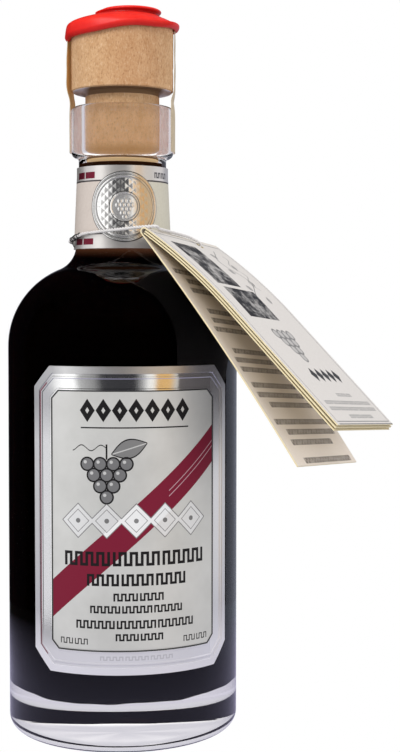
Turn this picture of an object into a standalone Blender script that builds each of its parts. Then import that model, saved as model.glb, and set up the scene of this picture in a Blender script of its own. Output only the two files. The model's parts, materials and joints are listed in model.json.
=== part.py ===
# A stoppered glass bottle of dark vinegar, with a sealing wax cap and a folded tag on a string.
# Metres, +Z up. The origin is the centre of the base's underside, and the front label faces -Y.

import math

import bmesh
import bpy
from mathutils import Matrix, Vector

# Clearances and fineness
GAP = 0.0003
HALF = 0.5
SHARP_ANGLE = math.radians(30)
MERGE_DISTANCE = 0.00001
ROUND_STEPS = 3
CORNER_STEPS = 5
SHOULDER_STEPS = 8

# Bottle, outside
SEGMENTS = 48
BODY_RADIUS = 0.0305
HEEL_RADIUS = 0.005
SHOULDER_START = 0.102
SHOULDER_RADIUS = 0.022
NECK_FILLET = 0.007
NECK_LOW_RADIUS = 0.0124
NECK_TOP_RADIUS = 0.0116
NECK_TAPER_END = 0.147
LIP_UNDERSIDE = 0.1516
LIP_RADIUS = 0.0135
LIP_LOWER_ROUND = 0.0016
LIP_TOP = 0.165
LIP_TOP_ROUND = 0.0009

# Bottle, inside
WALL = 0.0025
FLOOR = 0.0125
FLOOR_CORNER = 0.007
BORE_RADIUS = 0.0101
BORE_END = 0.146
BORE_ROUND = 0.0006
VINEGAR_LEVEL = 0.1496

# Stopper
SHANK_RADIUS = BORE_RADIUS - GAP
SHANK_END = 0.1512
HEAD_BOTTOM = 0.169
HEAD_TOP = 0.1862
HEAD_LOW_RADIUS = 0.01345
HEAD_HIGH_RADIUS = 0.01355
HEAD_EDGE = 0.0004
SHANK_FILLET = 0.0008

# Sealing wax
WAX_SEGMENTS = 48
WAX_RECESS_RADIUS = HEAD_HIGH_RADIUS + GAP
WAX_RINGS = (
    # radius, height, centre's x: from the middle of the stamped disc out to the hanging rim
    (0.0032, 0.1908, 0.0027),
    (0.0060, 0.19075, 0.0025),
    (0.0072, 0.1903, 0.0022),
    (0.0081, 0.1894, 0.0018),
    (0.0092, 0.1887, 0.0010),
    (0.0108, 0.1882, 0.0004),
    (0.0125, 0.1876, 0.0001),
    (0.0139, 0.1869, 0.0),
    (0.0147, 0.1861, 0.0),
)
WAX_RIM = (
    # radius, height over the wavy edge
    (0.0151, 0.0016),
    (0.0151, 0.0009),
    (0.0147, 0.0002),
)
WAX_EDGE = 0.184
WAX_WAVES = ((1, 0.0012, 0.0), (3, 0.00012, 2.1), (7, 0.0001, 0.9))
WAX_SAGS = (
    # direction from -Y towards +X, width, depth: the drip beside the left strip, and a wide sag
    (math.radians(-91), math.radians(8), 0.0008),
    (math.radians(-42), math.radians(20), 0.0005),
)

# Paper strips that run from under the wax down to the lip
STRIP_WIDTH = 0.008
STRIP_THICKNESS = 0.0002
STRIP_TURN = math.radians(-13)
STRIP_INNER = max(LIP_RADIUS, HEAD_HIGH_RADIUS) + GAP
STRIP_END = 0.1532
STRIP_DIP = 0.0004
STRIPS = (
    # node, side, height of the upper end under the wax
    ("seal_strip_left", -1, 0.1814),
    ("seal_strip_right", 1, 0.1845),
)

# Paper band round the neck
BAND_BOTTOM = 0.1276
BAND_TOP = 0.149
BAND_THICKNESS = 0.0002
BAND_ROWS = 7

# Front label
LABEL_BOTTOM = 0.0206
LABEL_TOP = 0.0978
LABEL_HALF_ANGLE = math.radians(52.6)
LABEL_CUT = 0.0053
LABEL_THICKNESS = 0.0002
LABEL_COLUMNS = 13

# Folded tag: a card folded over at the string, with two loose pages under its upper leaf
TAG_FOLD_START = Vector((0.00319, -0.02291, 0.13252))
TAG_TURN = math.radians(55.7)
TAG_TILT = math.radians(-4.2)
TAG_WIDTH = 0.0427
CARD_THICKNESS = 0.00035
FOLD_OUTER_RADIUS = 0.001
FOLD_STEPS = 8
LEAF_STEPS = 12
LEAF_FINE_STEPS = 4
UPPER_LEAF_LENGTH = 0.0714
UPPER_LEAF_ANGLES = (math.radians(32.9), math.radians(44.6))
UPPER_LEAF_BEND = 0.0307
LOWER_LEAF_LENGTH = 0.0705
LOWER_LEAF_ANGLES = (math.radians(49.2), math.radians(54.7))
LOWER_LEAF_BEND = 0.0633
LEAF_SPACING = 0.00234
PAGE_START = 0.002
PAGE_GAP = 0.00025
PAGES = (("tag_page_upper", 0.0004, 0.0002), ("tag_page_lower", 0.0003, 0.0004))
HOLE_ALONG_FOLD = 0.0268
HOLE_FROM_FOLD = 0.0034
HOLE_RADIUS = 0.0012
HOLE_DEPTH = 0.02
HOLE_SIDES = 16

# String
STRING_RADIUS = 0.0004
STRING_LOOP_RADIUS = 0.0137
STRING_POINTS = 72
STRING_FINE_STEPS = 24
STRING_ROUND_NECK = (
    # direction in degrees from -Y towards +X, height, how far out of the loop's circle
    (-45, 0.1316, 0.0),
    (-60, 0.1311, 0.0),
    (-78, 0.1303, 0.0),
    (-93, 0.1298, 0.00028),
    (-110, 0.1295, 0.0),
    (-135, 0.1292, 0.0),
    (-160, 0.129, 0.0),
    (175, 0.1288, 0.0),
    (152, 0.1287, 0.0),
    (129, 0.1286, 0.0),
    (110, 0.1285, 0.0011),
)
STRING_THROUGH_HOLE = (-0.0052, -0.0036, -0.0018, 0.0001)
STRING_OVER_FOLD = (
    # along the fold, down from the fold, height over the leaf
    (0.0261, 0.0029, 0.0009),
    (0.0238, 0.001, 0.00095),
    (0.02, 0.0004, 0.0009),
    (0.014, 0.0004, 0.0009),
    (0.007, 0.0004, 0.0009),
    (0.001, 0.0004, 0.0009),
)
KNOT_PLACE = 3
KNOT_SPREAD = 0.0012
KNOT_SWELL = 0.7


def remove_everything():
    for old in list(bpy.data.objects):
        bpy.data.objects.remove(old, do_unlink=True)


def material(name, colour, roughness, metallic=0.0, alpha=1.0):
    mat = bpy.data.materials.new(name)
    mat.use_nodes = True
    shader = mat.node_tree.nodes["Principled BSDF"]
    shader.inputs["Base Color"].default_value = (*colour, 1.0)
    shader.inputs["Roughness"].default_value = roughness
    shader.inputs["Metallic"].default_value = metallic
    shader.inputs["Alpha"].default_value = alpha
    mat.diffuse_color = (*colour, alpha)
    return mat


def add_object(name, mesh, mat):
    obj = bpy.data.objects.new(name, mesh)
    bpy.context.scene.collection.objects.link(obj)
    mesh.materials.append(mat)
    return obj


def mesh_object(name, bm, mat):
    bmesh.ops.recalc_face_normals(bm, faces=bm.faces)
    mesh = bpy.data.meshes.new(name)
    bm.to_mesh(mesh)
    bm.free()
    mesh.shade_smooth()
    mesh.set_sharp_from_angle(angle=SHARP_ANGLE)
    return add_object(name, mesh, mat)


def turned(name, outline, mat, closed=False):
    """Turns an outline of (radius, height) round the Z axis; it runs down its outer side."""
    bm = bmesh.new()
    verts = [bm.verts.new((radius, 0.0, height)) for radius, height in outline]
    for first, second in zip(verts, verts[1:]):
        bm.edges.new((first, second))
    if closed:
        bm.edges.new((verts[-1], verts[0]))
    mesh = bpy.data.meshes.new(name)
    bm.to_mesh(mesh)
    bm.free()
    obj = add_object(name, mesh, mat)
    screw = obj.modifiers.new("Turn", "SCREW")
    screw.steps = SEGMENTS
    screw.render_steps = SEGMENTS
    screw.use_merge_vertices = True
    screw.merge_threshold = MERGE_DISTANCE
    screw.use_smooth_shade = True
    return obj


def arc(centre, radius, start, end, steps):
    """Points of (radius, height) round a centre, with angles in degrees from the outward direction."""
    points = []
    for step in range(steps + 1):
        angle = math.radians(start + (end - start) * step / steps)
        points.append((centre[0] + radius * math.cos(angle), centre[1] + radius * math.sin(angle)))
    return points


def shoulder(offset, steps, neck_radius):
    """The shoulder's arc and the hollow fillet up to the neck, bottom to top, moved in by offset."""
    centre = (BODY_RADIUS - SHOULDER_RADIUS, SHOULDER_START)
    round_radius = SHOULDER_RADIUS - offset
    fillet = NECK_FILLET + offset
    across = neck_radius + fillet - centre[0]
    rise = math.sqrt((round_radius + fillet) ** 2 - across**2)
    fillet_centre = (neck_radius + fillet, centre[1] + rise)
    meet = math.degrees(math.atan2(rise, across))
    points = arc(centre, round_radius, 0, meet, steps)
    points += arc(fillet_centre, fillet, meet + 180, 180, ROUND_STEPS)[1:]
    return points


def neck_radius_at(height):
    """The glass neck's outer radius between the shoulder's fillet and the lip."""
    low = shoulder(0.0, SHOULDER_STEPS, NECK_LOW_RADIUS)
    if height <= low[-1][1]:
        rise = low[-1][1] - height
        return NECK_LOW_RADIUS + NECK_FILLET - math.sqrt(NECK_FILLET**2 - rise**2)
    share = min(1.0, (height - low[-1][1]) / (NECK_TAPER_END - low[-1][1]))
    return NECK_LOW_RADIUS + (NECK_TOP_RADIUS - NECK_LOW_RADIUS) * share


def inner_outline(offset):
    """The hollow's wall from the middle of the floor up to the bore, moved in by offset."""
    wall = BODY_RADIUS - WALL - offset
    floor = FLOOR + offset
    corner = FLOOR_CORNER
    points = [(0.0, floor), (wall - corner, floor)]
    points += arc((wall - corner, floor + corner), corner, -90, 0, CORNER_STEPS)[1:]
    points += shoulder(WALL + offset, SHOULDER_STEPS, BORE_RADIUS - offset)
    return points


def make_bottle(mat):
    outline = inner_outline(0.0)
    outline += [(BORE_RADIUS, BORE_END), (BORE_RADIUS, LIP_TOP - BORE_ROUND)]
    outline += [(BORE_RADIUS + BORE_ROUND, LIP_TOP)]
    outline += arc((LIP_RADIUS - LIP_TOP_ROUND, LIP_TOP - LIP_TOP_ROUND), LIP_TOP_ROUND, 90, 0, ROUND_STEPS)
    lip_low = (LIP_RADIUS - LIP_LOWER_ROUND, LIP_UNDERSIDE + LIP_LOWER_ROUND)
    outline += arc(lip_low, LIP_LOWER_ROUND, 0, -90, CORNER_STEPS)
    outline += [(NECK_TOP_RADIUS, LIP_UNDERSIDE - LIP_TOP_ROUND), (NECK_TOP_RADIUS, NECK_TAPER_END)]
    outline += reversed(shoulder(0.0, SHOULDER_STEPS, NECK_LOW_RADIUS))
    heel = (BODY_RADIUS - HEEL_RADIUS, HEEL_RADIUS)
    outline += arc(heel, HEEL_RADIUS, 0, -90, CORNER_STEPS)
    outline += [(0.0, 0.0)]
    return turned("glass_bottle", outline, mat)


def make_vinegar(mat):
    wall = inner_outline(GAP)
    outline = [(0.0, VINEGAR_LEVEL), (BORE_RADIUS - GAP, VINEGAR_LEVEL)]
    outline += reversed(wall)
    return turned("vinegar", outline, mat)


def make_stopper(mat):
    outline = [(0.0, HEAD_TOP), (HEAD_HIGH_RADIUS - HEAD_EDGE, HEAD_TOP)]
    outline += [(HEAD_HIGH_RADIUS, HEAD_TOP - HEAD_EDGE)]
    outline += [(HEAD_LOW_RADIUS, HEAD_BOTTOM + HEAD_EDGE), (HEAD_LOW_RADIUS - HEAD_EDGE, HEAD_BOTTOM)]
    fillet = (SHANK_RADIUS + SHANK_FILLET, HEAD_BOTTOM - SHANK_FILLET)
    outline += arc(fillet, SHANK_FILLET, 90, 180, ROUND_STEPS)
    outline += [(SHANK_RADIUS, SHANK_END + HEAD_EDGE), (SHANK_RADIUS - HEAD_EDGE, SHANK_END)]
    outline += [(0.0, SHANK_END)]
    return turned("stopper", outline, mat)


def bump(turn, centre, width):
    """A smooth bump of height 1 round a direction, in radians."""
    away = (turn - centre + math.pi) % (2 * math.pi) - math.pi
    return math.exp(-((away / width) ** 2))


def wax_edge(turn):
    """The height of the wax's hanging lower edge at a direction measured from -Y towards +X."""
    height = WAX_EDGE
    for count, depth, phase in WAX_WAVES:
        height += depth * math.sin(count * turn + phase)
    for centre, width, depth in WAX_SAGS:
        height -= depth * bump(turn, centre, width)
    return height


def make_wax(mat):
    """Rings from the top's middle out to the rim, round the wavy edge and back up inside."""
    bm = bmesh.new()
    turns = [2 * math.pi * step / WAX_SEGMENTS for step in range(WAX_SEGMENTS)]
    edge = [wax_edge(turn) for turn in turns]
    rings = []
    for radius, height, shift in WAX_RINGS:
        rings.append([(radius, height, shift)] * WAX_SEGMENTS)
    for radius, rise in WAX_RIM:
        rings.append([(radius, low + rise, 0.0) for low in edge])
    rings.append([(WAX_RECESS_RADIUS + HALF * GAP, low, 0.0) for low in edge])
    rings.append([(WAX_RECESS_RADIUS, HEAD_TOP + GAP, 0.0)] * WAX_SEGMENTS)
    verts = []
    for ring in rings:
        row = []
        for turn, (radius, height, shift) in zip(turns, ring):
            place = (shift + radius * math.sin(turn), -radius * math.cos(turn), height)
            row.append(bm.verts.new(place))
        verts.append(row)
    for upper, lower in zip(verts, verts[1:]):
        for step in range(WAX_SEGMENTS):
            after = (step + 1) % WAX_SEGMENTS
            bm.faces.new((upper[step], upper[after], lower[after], lower[step]))
    bm.faces.new(verts[0])
    bm.faces.new(verts[-1])
    return mesh_object("wax_seal", bm, mat)


def extruded(name, outline, placing, width, mat):
    """Pushes a flat outline of (x, z) along +Y by width, then places it."""
    bm = bmesh.new()
    verts = [bm.verts.new((x, 0.0, z)) for x, z in outline]
    face = bm.faces.new(verts)
    pushed = bmesh.ops.extrude_face_region(bm, geom=[face])
    moved = [item for item in pushed["geom"] if isinstance(item, bmesh.types.BMVert)]
    bmesh.ops.translate(bm, verts=moved, vec=(0.0, width, 0.0))
    bmesh.ops.transform(bm, matrix=placing, verts=bm.verts)
    return mesh_object(name, bm, mat)


def beside(points, distance):
    """The same line of (x, z) points moved square to itself, to its right."""
    moved = []
    for index, point in enumerate(points):
        before = points[max(index - 1, 0)]
        after = points[min(index + 1, len(points) - 1)]
        along = Vector((after[0] - before[0], after[1] - before[1])).normalized()
        moved.append((point[0] + along[1] * distance, point[1] - along[0] * distance))
    return moved


def make_strip(name, side, top, mat):
    """A flat paper strip from under the wax, past the stopper's head, down the lip's side."""
    path = [
        (side * STRIP_INNER, STRIP_END),
        (side * STRIP_INNER, LIP_TOP - LIP_TOP_ROUND),
        (side * (STRIP_INNER - STRIP_DIP), (LIP_TOP + HEAD_BOTTOM) * HALF),
        (side * STRIP_INNER, HEAD_BOTTOM + HEAD_EDGE),
        (side * STRIP_INNER, top),
    ]
    outline = path + beside(path, side * STRIP_THICKNESS)[::-1]
    placing = Matrix.Rotation(STRIP_TURN, 4, "Z") @ Matrix.Translation((0.0, -STRIP_WIDTH * HALF, 0.0))
    return extruded(name, outline, placing, STRIP_WIDTH, mat)


def make_band(mat):
    """A paper sleeve that follows the neck's taper."""
    heights = [BAND_TOP + (BAND_BOTTOM - BAND_TOP) * row / BAND_ROWS for row in range(BAND_ROWS + 1)]
    outer = [(neck_radius_at(height) + GAP + BAND_THICKNESS, height) for height in heights]
    inner = [(neck_radius_at(height) + GAP, height) for height in reversed(heights)]
    return turned("neck_band", outer + inner, mat, closed=True)


def make_label(mat):
    """A thin plate wrapped round the body's front, with its four corners cut off."""
    inner = BODY_RADIUS + GAP
    outer = inner + LABEL_THICKNESS
    cut_angle = LABEL_CUT / outer
    straight = LABEL_HALF_ANGLE - cut_angle
    columns = [(-LABEL_HALF_ANGLE, LABEL_CUT)]
    for column in range(LABEL_COLUMNS):
        columns.append((straight * (2 * column / (LABEL_COLUMNS - 1) - 1), 0.0))
    columns.append((LABEL_HALF_ANGLE, LABEL_CUT))
    bm = bmesh.new()
    rows = []
    for turn, cut in columns:
        corners = []
        for radius, height in (
            (inner, LABEL_BOTTOM + cut),
            (outer, LABEL_BOTTOM + cut),
            (outer, LABEL_TOP - cut),
            (inner, LABEL_TOP - cut),
        ):
            place = (radius * math.sin(turn), -radius * math.cos(turn), height)
            corners.append(bm.verts.new(place))
        rows.append(corners)
    for left, right in zip(rows, rows[1:]):
        for corner in range(4):
            after = (corner + 1) % 4
            bm.faces.new((left[corner], right[corner], right[after], left[after]))
    bm.faces.new(rows[0])
    bm.faces.new(rows[-1])
    return mesh_object("front_label", bm, mat)


def leaf_path(start, angles, bend, length):
    """Points down a leaf's face: it steepens evenly over its bend and then stays straight."""
    steps = LEAF_FINE_STEPS * LEAF_STEPS
    x, z = start
    points = [(x, z)]
    for step in range(steps):
        along = length * (step + HALF) / steps
        angle = angles[0] + (angles[1] - angles[0]) * min(1.0, along / bend)
        x += math.cos(angle) * length / steps
        z -= math.sin(angle) * length / steps
        if (step + 1) % LEAF_FINE_STEPS == 0:
            points.append((x, z))
    return points


def fold_centre():
    """The middle of the fold's round back, touching both leaves' outer faces."""
    up_angle = UPPER_LEAF_ANGLES[0]
    low_angle = LOWER_LEAF_ANGLES[0]
    into_upper = Vector((-math.sin(up_angle), -math.cos(up_angle)))
    into_lower = Vector((math.sin(low_angle), math.cos(low_angle)))
    lower_outer = Vector((0.0, -LEAF_SPACING)) - into_lower * CARD_THICKNESS
    rows = Matrix((into_upper, into_lower))
    return rows.inverted() @ Vector((FOLD_OUTER_RADIUS, FOLD_OUTER_RADIUS + lower_outer.dot(into_lower)))


def fold_arc(radius, centre):
    """The fold's round back from the upper leaf, past the neck's side, to the lower leaf."""
    start = math.pi * HALF - UPPER_LEAF_ANGLES[0]
    end = 1.5 * math.pi - LOWER_LEAF_ANGLES[0]
    points = []
    for step in range(FOLD_STEPS + 1):
        angle = start + (end - start) * step / FOLD_STEPS
        points.append((centre.x + radius * math.cos(angle), centre.y + radius * math.sin(angle)))
    return points


def tag_placing():
    """From the tag's own section, x away from the neck and y along the fold, to the model."""
    along = Vector((math.cos(TAG_TURN), math.sin(TAG_TURN), 0.0)) * math.cos(TAG_TILT)
    along.z = math.sin(TAG_TILT)
    away = along.cross(Vector((0.0, 0.0, 1.0))).normalized()
    up = away.cross(along).normalized()
    placing = Matrix((away, along, up)).transposed().to_4x4()
    placing.translation = TAG_FOLD_START
    return placing


def upper_leaf():
    return leaf_path((0.0, 0.0), UPPER_LEAF_ANGLES, UPPER_LEAF_BEND, UPPER_LEAF_LENGTH)


def lower_leaf():
    start = (0.0, -LEAF_SPACING)
    return leaf_path(start, LOWER_LEAF_ANGLES, LOWER_LEAF_BEND, LOWER_LEAF_LENGTH)


def make_tag_cover(mat):
    centre = fold_centre()
    upper = upper_leaf()[1:]
    upper_under = beside(upper_leaf(), CARD_THICKNESS)[1:]
    lower = lower_leaf()[1:]
    lower_under = beside(lower_leaf(), CARD_THICKNESS)[1:]
    outline = list(reversed(upper))
    outline += fold_arc(FOLD_OUTER_RADIUS, centre)
    outline += lower_under
    outline += reversed(lower)
    outline += reversed(fold_arc(FOLD_OUTER_RADIUS - CARD_THICKNESS, centre))
    outline += upper_under
    return extruded("tag_cover", outline, tag_placing(), TAG_WIDTH, mat)


def make_tag_pages(mat):
    """Loose pages under the upper leaf, each a little further below it at its free end."""
    pages = []
    depth = CARD_THICKNESS
    for name, thickness, fan in PAGES:
        depth += PAGE_GAP
        top = beside(upper_leaf(), depth)
        bottom = beside(upper_leaf(), depth + thickness)
        share = PAGE_START / UPPER_LEAF_LENGTH * LEAF_STEPS
        first_top = Vector(top[0]).lerp(Vector(top[1]), share)
        first_bottom = Vector(bottom[0]).lerp(Vector(bottom[1]), share)
        top = [tuple(first_top)] + top[1:]
        bottom = [tuple(first_bottom)] + bottom[1:]
        outline = []
        for line in (top, list(reversed(bottom))):
            for point in line:
                drop = fan * (point[0] / top[-1][0]) ** 2
                outline.append((point[0], point[1] - drop))
        pages.append(extruded(name, outline, tag_placing(), TAG_WIDTH, mat))
        depth += thickness
    return pages


def leaf_normal():
    angle = UPPER_LEAF_ANGLES[0]
    return Vector((math.sin(angle), 0.0, math.cos(angle)))


def on_tag(along_fold, from_fold, height):
    """A place over the upper leaf, measured along the fold, down the leaf and off its face."""
    angle = UPPER_LEAF_ANGLES[0]
    place = Vector((from_fold * math.cos(angle), along_fold, -from_fold * math.sin(angle)))
    return tag_placing() @ (place + leaf_normal() * height)


def punch_hole(pieces):
    """The round hole that the string goes through, near the middle of the fold."""
    bm = bmesh.new()
    bmesh.ops.create_cone(
        bm,
        cap_ends=True,
        segments=HOLE_SIDES,
        radius1=HOLE_RADIUS,
        radius2=HOLE_RADIUS,
        depth=HOLE_DEPTH,
    )
    mesh = bpy.data.meshes.new("hole_cutter")
    bm.to_mesh(mesh)
    bm.free()
    cutter = bpy.data.objects.new("hole_cutter", mesh)
    bpy.context.scene.collection.objects.link(cutter)
    down_hole = (on_tag(0.0, 0.0, 1.0) - on_tag(0.0, 0.0, 0.0)).normalized()
    place = on_tag(HOLE_ALONG_FOLD, HOLE_FROM_FOLD, 0.0)
    turn = Vector((0.0, 0.0, 1.0)).rotation_difference(down_hole).to_matrix().to_4x4()
    cutter.matrix_world = Matrix.Translation(place) @ turn
    cutter.hide_render = True
    cutter.display_type = "WIRE"
    for piece in pieces:
        cut = piece.modifiers.new("Hole", "BOOLEAN")
        cut.operation = "DIFFERENCE"
        cut.solver = "EXACT"
        cut.object = cutter
    return cutter


def round_neck(degrees, height, extra):
    """A place on the string's loop round the neck, at a direction from -Y towards +X."""
    turn = math.radians(degrees)
    reach = STRING_LOOP_RADIUS + extra
    return Vector((reach * math.sin(turn), -reach * math.cos(turn), height))


def string_route():
    """The string's closed route: round the neck, up through the tag's hole and along its fold."""
    route = [round_neck(*place) for place in STRING_ROUND_NECK]
    route += [on_tag(HOLE_ALONG_FOLD, HOLE_FROM_FOLD, height) for height in STRING_THROUGH_HOLE]
    route += [on_tag(*place) for place in STRING_OVER_FOLD]
    return route


def smooth_loop(points, count):
    """Evenly spaced points on a closed Catmull-Rom curve through the given ones."""
    fine = []
    total = len(points)
    for index in range(total):
        p0, p1, p2, p3 = (points[(index + shift) % total] for shift in (-1, 0, 1, 2))
        for step in range(STRING_FINE_STEPS):
            t = step / STRING_FINE_STEPS
            fine.append(
                HALF
                * (
                    2 * p1
                    + (p2 - p0) * t
                    + (2 * p0 - 5 * p1 + 4 * p2 - p3) * t**2
                    + (3 * p1 - p0 - 3 * p2 + p3) * t**3
                )
            )
    lengths = [0.0]
    for first, second in zip(fine, fine[1:] + fine[:1]):
        lengths.append(lengths[-1] + (second - first).length)
    even = []
    at = 0
    for number in range(count):
        target = lengths[-1] * number / count
        while lengths[at + 1] < target:
            at += 1
        share = (target - lengths[at]) / (lengths[at + 1] - lengths[at])
        even.append(fine[at].lerp(fine[(at + 1) % len(fine)], share))
    return even


def make_string(mat):
    points = smooth_loop(string_route(), STRING_POINTS)
    knot = round_neck(*STRING_ROUND_NECK[KNOT_PLACE])
    curve = bpy.data.curves.new("tag_string", "CURVE")
    curve.dimensions = "3D"
    curve.bevel_depth = STRING_RADIUS
    curve.bevel_resolution = 2
    curve.use_fill_caps = True
    spline = curve.splines.new("POLY")
    spline.points.add(len(points) - 1)
    spline.use_cyclic_u = True
    for point, place in zip(spline.points, points):
        point.co = (*place, 1.0)
        point.radius = 1.0 + KNOT_SWELL * math.exp(-(((place - knot).length / KNOT_SPREAD) ** 2))
    obj = bpy.data.objects.new("tag_string", curve)
    bpy.context.scene.collection.objects.link(obj)
    curve.materials.append(mat)
    return obj


def main():
    remove_everything()
    glass = material("clear_glass", (0.9, 0.93, 0.93), 0.02, alpha=0.35)
    vinegar = material("dark_vinegar", (0.012, 0.005, 0.004), 0.05)
    cork = material("pale_cork", (0.6, 0.41, 0.24), 0.75)
    wax = material("red_wax", (0.83, 0.05, 0.03), 0.35)
    strip = material("strip_paper", (0.62, 0.5, 0.3), 0.5)
    band = material("band_paper", (0.66, 0.62, 0.55), 0.5)
    label = material("label_foil", (0.62, 0.62, 0.6), 0.35, metallic=0.5)
    card = material("tag_card", (0.8, 0.77, 0.73), 0.6)
    page = material("tag_page", (0.78, 0.7, 0.5), 0.65)
    thread = material("white_thread", (0.8, 0.78, 0.76), 0.6)

    make_bottle(glass)
    make_vinegar(vinegar)
    make_stopper(cork)
    make_wax(wax)
    for name, side, top in STRIPS:
        make_strip(name, side, top, strip)
    make_band(band)
    make_label(label)
    cover = make_tag_cover(card)
    pages = make_tag_pages(page)
    punch_hole([cover] + pages)
    make_string(thread)


main()
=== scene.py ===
import functools
import json
import math

import bmesh
import bpy
from mathutils import Matrix, Vector, noise

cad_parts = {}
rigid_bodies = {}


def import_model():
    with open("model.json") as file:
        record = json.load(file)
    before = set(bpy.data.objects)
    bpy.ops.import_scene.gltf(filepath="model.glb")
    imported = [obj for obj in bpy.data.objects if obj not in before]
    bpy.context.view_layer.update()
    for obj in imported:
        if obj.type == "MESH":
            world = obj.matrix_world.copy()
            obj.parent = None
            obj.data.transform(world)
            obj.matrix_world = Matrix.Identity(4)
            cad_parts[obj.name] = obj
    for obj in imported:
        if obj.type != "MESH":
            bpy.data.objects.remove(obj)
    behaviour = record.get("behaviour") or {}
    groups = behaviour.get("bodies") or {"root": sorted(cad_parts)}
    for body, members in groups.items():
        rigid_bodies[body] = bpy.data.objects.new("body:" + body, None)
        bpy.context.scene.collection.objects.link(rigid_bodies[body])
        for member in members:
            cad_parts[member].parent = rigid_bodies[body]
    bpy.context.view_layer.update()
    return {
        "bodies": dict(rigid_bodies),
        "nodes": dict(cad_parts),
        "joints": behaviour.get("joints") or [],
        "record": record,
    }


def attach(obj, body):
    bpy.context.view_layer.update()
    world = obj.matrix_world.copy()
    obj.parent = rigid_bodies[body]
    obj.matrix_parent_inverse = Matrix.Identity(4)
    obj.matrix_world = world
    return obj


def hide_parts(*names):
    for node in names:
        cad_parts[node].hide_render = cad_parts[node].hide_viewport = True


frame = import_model()

MM = 0.001
HALF = 0.5
SHARP_ANGLE = math.radians(30)
BLACK = (0.0, 0.0, 0.0)
WHITE = (1.0, 1.0, 1.0)

# Points round a turned shape, and the radius of the small hole that is capped on its axis
TURNS = 192
AXIS_RADIUS = 0.00001

# Bottle, outside, as in the solids
BODY_RADIUS = 0.0305
HEEL_RADIUS = 0.004
SHOULDER_START = 0.102
SHOULDER_RADIUS = 0.022
NECK_FILLET = 0.007
NECK_LOW_RADIUS = 0.0124
NECK_TOP_RADIUS = 0.0116
NECK_TAPER_END = 0.147
LIP_UNDERSIDE = 0.1516
LIP_RADIUS = 0.0135
LIP_LOWER_ROUND = 0.0016
LIP_TOP = 0.165
LIP_TOP_ROUND = 0.0009

# Bottle, inside
WALL = 0.0025
FLOOR = 0.0117
FLOOR_CORNER = 0.007
BORE_RADIUS = 0.0101
BORE_END = 0.146
BORE_ROUND = 0.0006
VINEGAR_LEVEL = 0.1496
MENISCUS_RISE = 0.0007
MENISCUS_WIDTH = 0.0022
MENISCUS_STEPS = 16
INTO_WALL = 0.0001

# Shallow push-up under the base
PUSH_UP_RADIUS = 0.0178
PUSH_UP_DEPTH = 0.0005
PUSH_UP_STEPS = 16

# Stopper
SHANK_RADIUS = 0.0098
SHANK_END = 0.1512
HEAD_BOTTOM = 0.169
HEAD_TOP = 0.1862
HEAD_LOW_RADIUS = 0.01345
HEAD_HIGH_RADIUS = 0.01355
HEAD_EDGE = 0.0004
SHANK_FILLET = 0.0008

# Sealing wax
WAX_RINGS = (
    # radius, height, centre's x: over the stamped disc's edge, in under it and out to the hanging rim
    (0.0060, 0.1908, 0.0025),
    (0.0075, 0.1907, 0.0023),
    (0.0081, 0.1904, 0.0022),
    (0.0081, 0.1900, 0.0022),
    (0.0076, 0.1895, 0.0021),
    (0.0077, 0.1891, 0.0019),
    (0.0086, 0.1889, 0.0014),
    (0.0100, 0.1885, 0.0007),
    (0.0114, 0.1880, 0.0003),
    (0.0127, 0.1875, 0.0001),
    (0.0139, 0.1869, 0.0),
    (0.0147, 0.1861, 0.0),
)
WAX_RIM = (
    # radius, rise over the hanging lower edge
    (0.0151, 0.0016),
    (0.0151, 0.0009),
    (0.0147, 0.0002),
    (0.0142, 0.0),
    (0.01372, 0.0003),
)
WAX_INSIDE = (0.1855, 0.1863)
WAX_INSIDE_SCALE = 0.9985
WAX_FILL = 0.0012
WAX_FILL_TURN = math.radians(-95)
WAX_FILL_WIDTH = 0.75
WAX_EDGE = 0.184
WAX_WAVES = ((1, 0.0012, 0.0), (3, 0.00012, 2.1), (7, 0.0001, 0.9))
WAX_SAGS = (
    (math.radians(-91), math.radians(8), 0.0008),
    (math.radians(-42), math.radians(20), 0.0005),
)
STAMP_RADIUS = 0.0060
STAMP_CENTRE = 0.0027
STAMP_TOP = 0.1908
STAMP_STEPS = 40

# Paper strips under the wax
STRIP_WIDTH = 0.008
STRIP_THICKNESS = 0.00016
STRIP_TURN = math.radians(-13)
STRIP_INNER = 0.01385
STRIP_END = 0.1532
STRIP_TRIM = 0.0035
STRIP_FLARE = 0.0005
STRIP_COLUMNS = 14

# Neck band, front label
BAND_BOTTOM = 0.1276
BAND_TOP = 0.149
BAND_OUT = 0.0005
BAND_IN = 0.00003
LABEL_RADIUS = 0.03055
LABEL_SINK = 0.00006

# Folded tag
TAG_FOLD_START = Vector((0.00319, -0.02291, 0.13252))
TAG_TURN = math.radians(55.7)
TAG_TILT = math.radians(-4.2)
TAG_WIDTH = 0.0427
CARD_THICKNESS = 0.00035
FOLD_OUTER_RADIUS = 0.001
FOLD_STEPS = 16
LEAF_STEPS = 48
UPPER_LEAF_LENGTH = 0.0714
UPPER_LEAF_ANGLES = (math.radians(32.9), math.radians(44.6))
UPPER_LEAF_BEND = 0.0307
LOWER_LEAF_LENGTH = 0.0705
LOWER_LEAF_ANGLES = (math.radians(49.2), math.radians(54.7))
LOWER_LEAF_BEND = 0.0633
LEAF_SPACING = 0.00234
PAGE_START = 0.0006
PAGE_GAP = 0.00025
PAGES = (("tag_page_upper", 0.0004, 0.0002), ("tag_page_lower", 0.0003, 0.0004))
HOLE_ALONG_FOLD = 0.0268
HOLE_FROM_FOLD = 0.0034
HOLE_RADIUS = 0.0012
HOLE_DEPTH = 0.02

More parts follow.
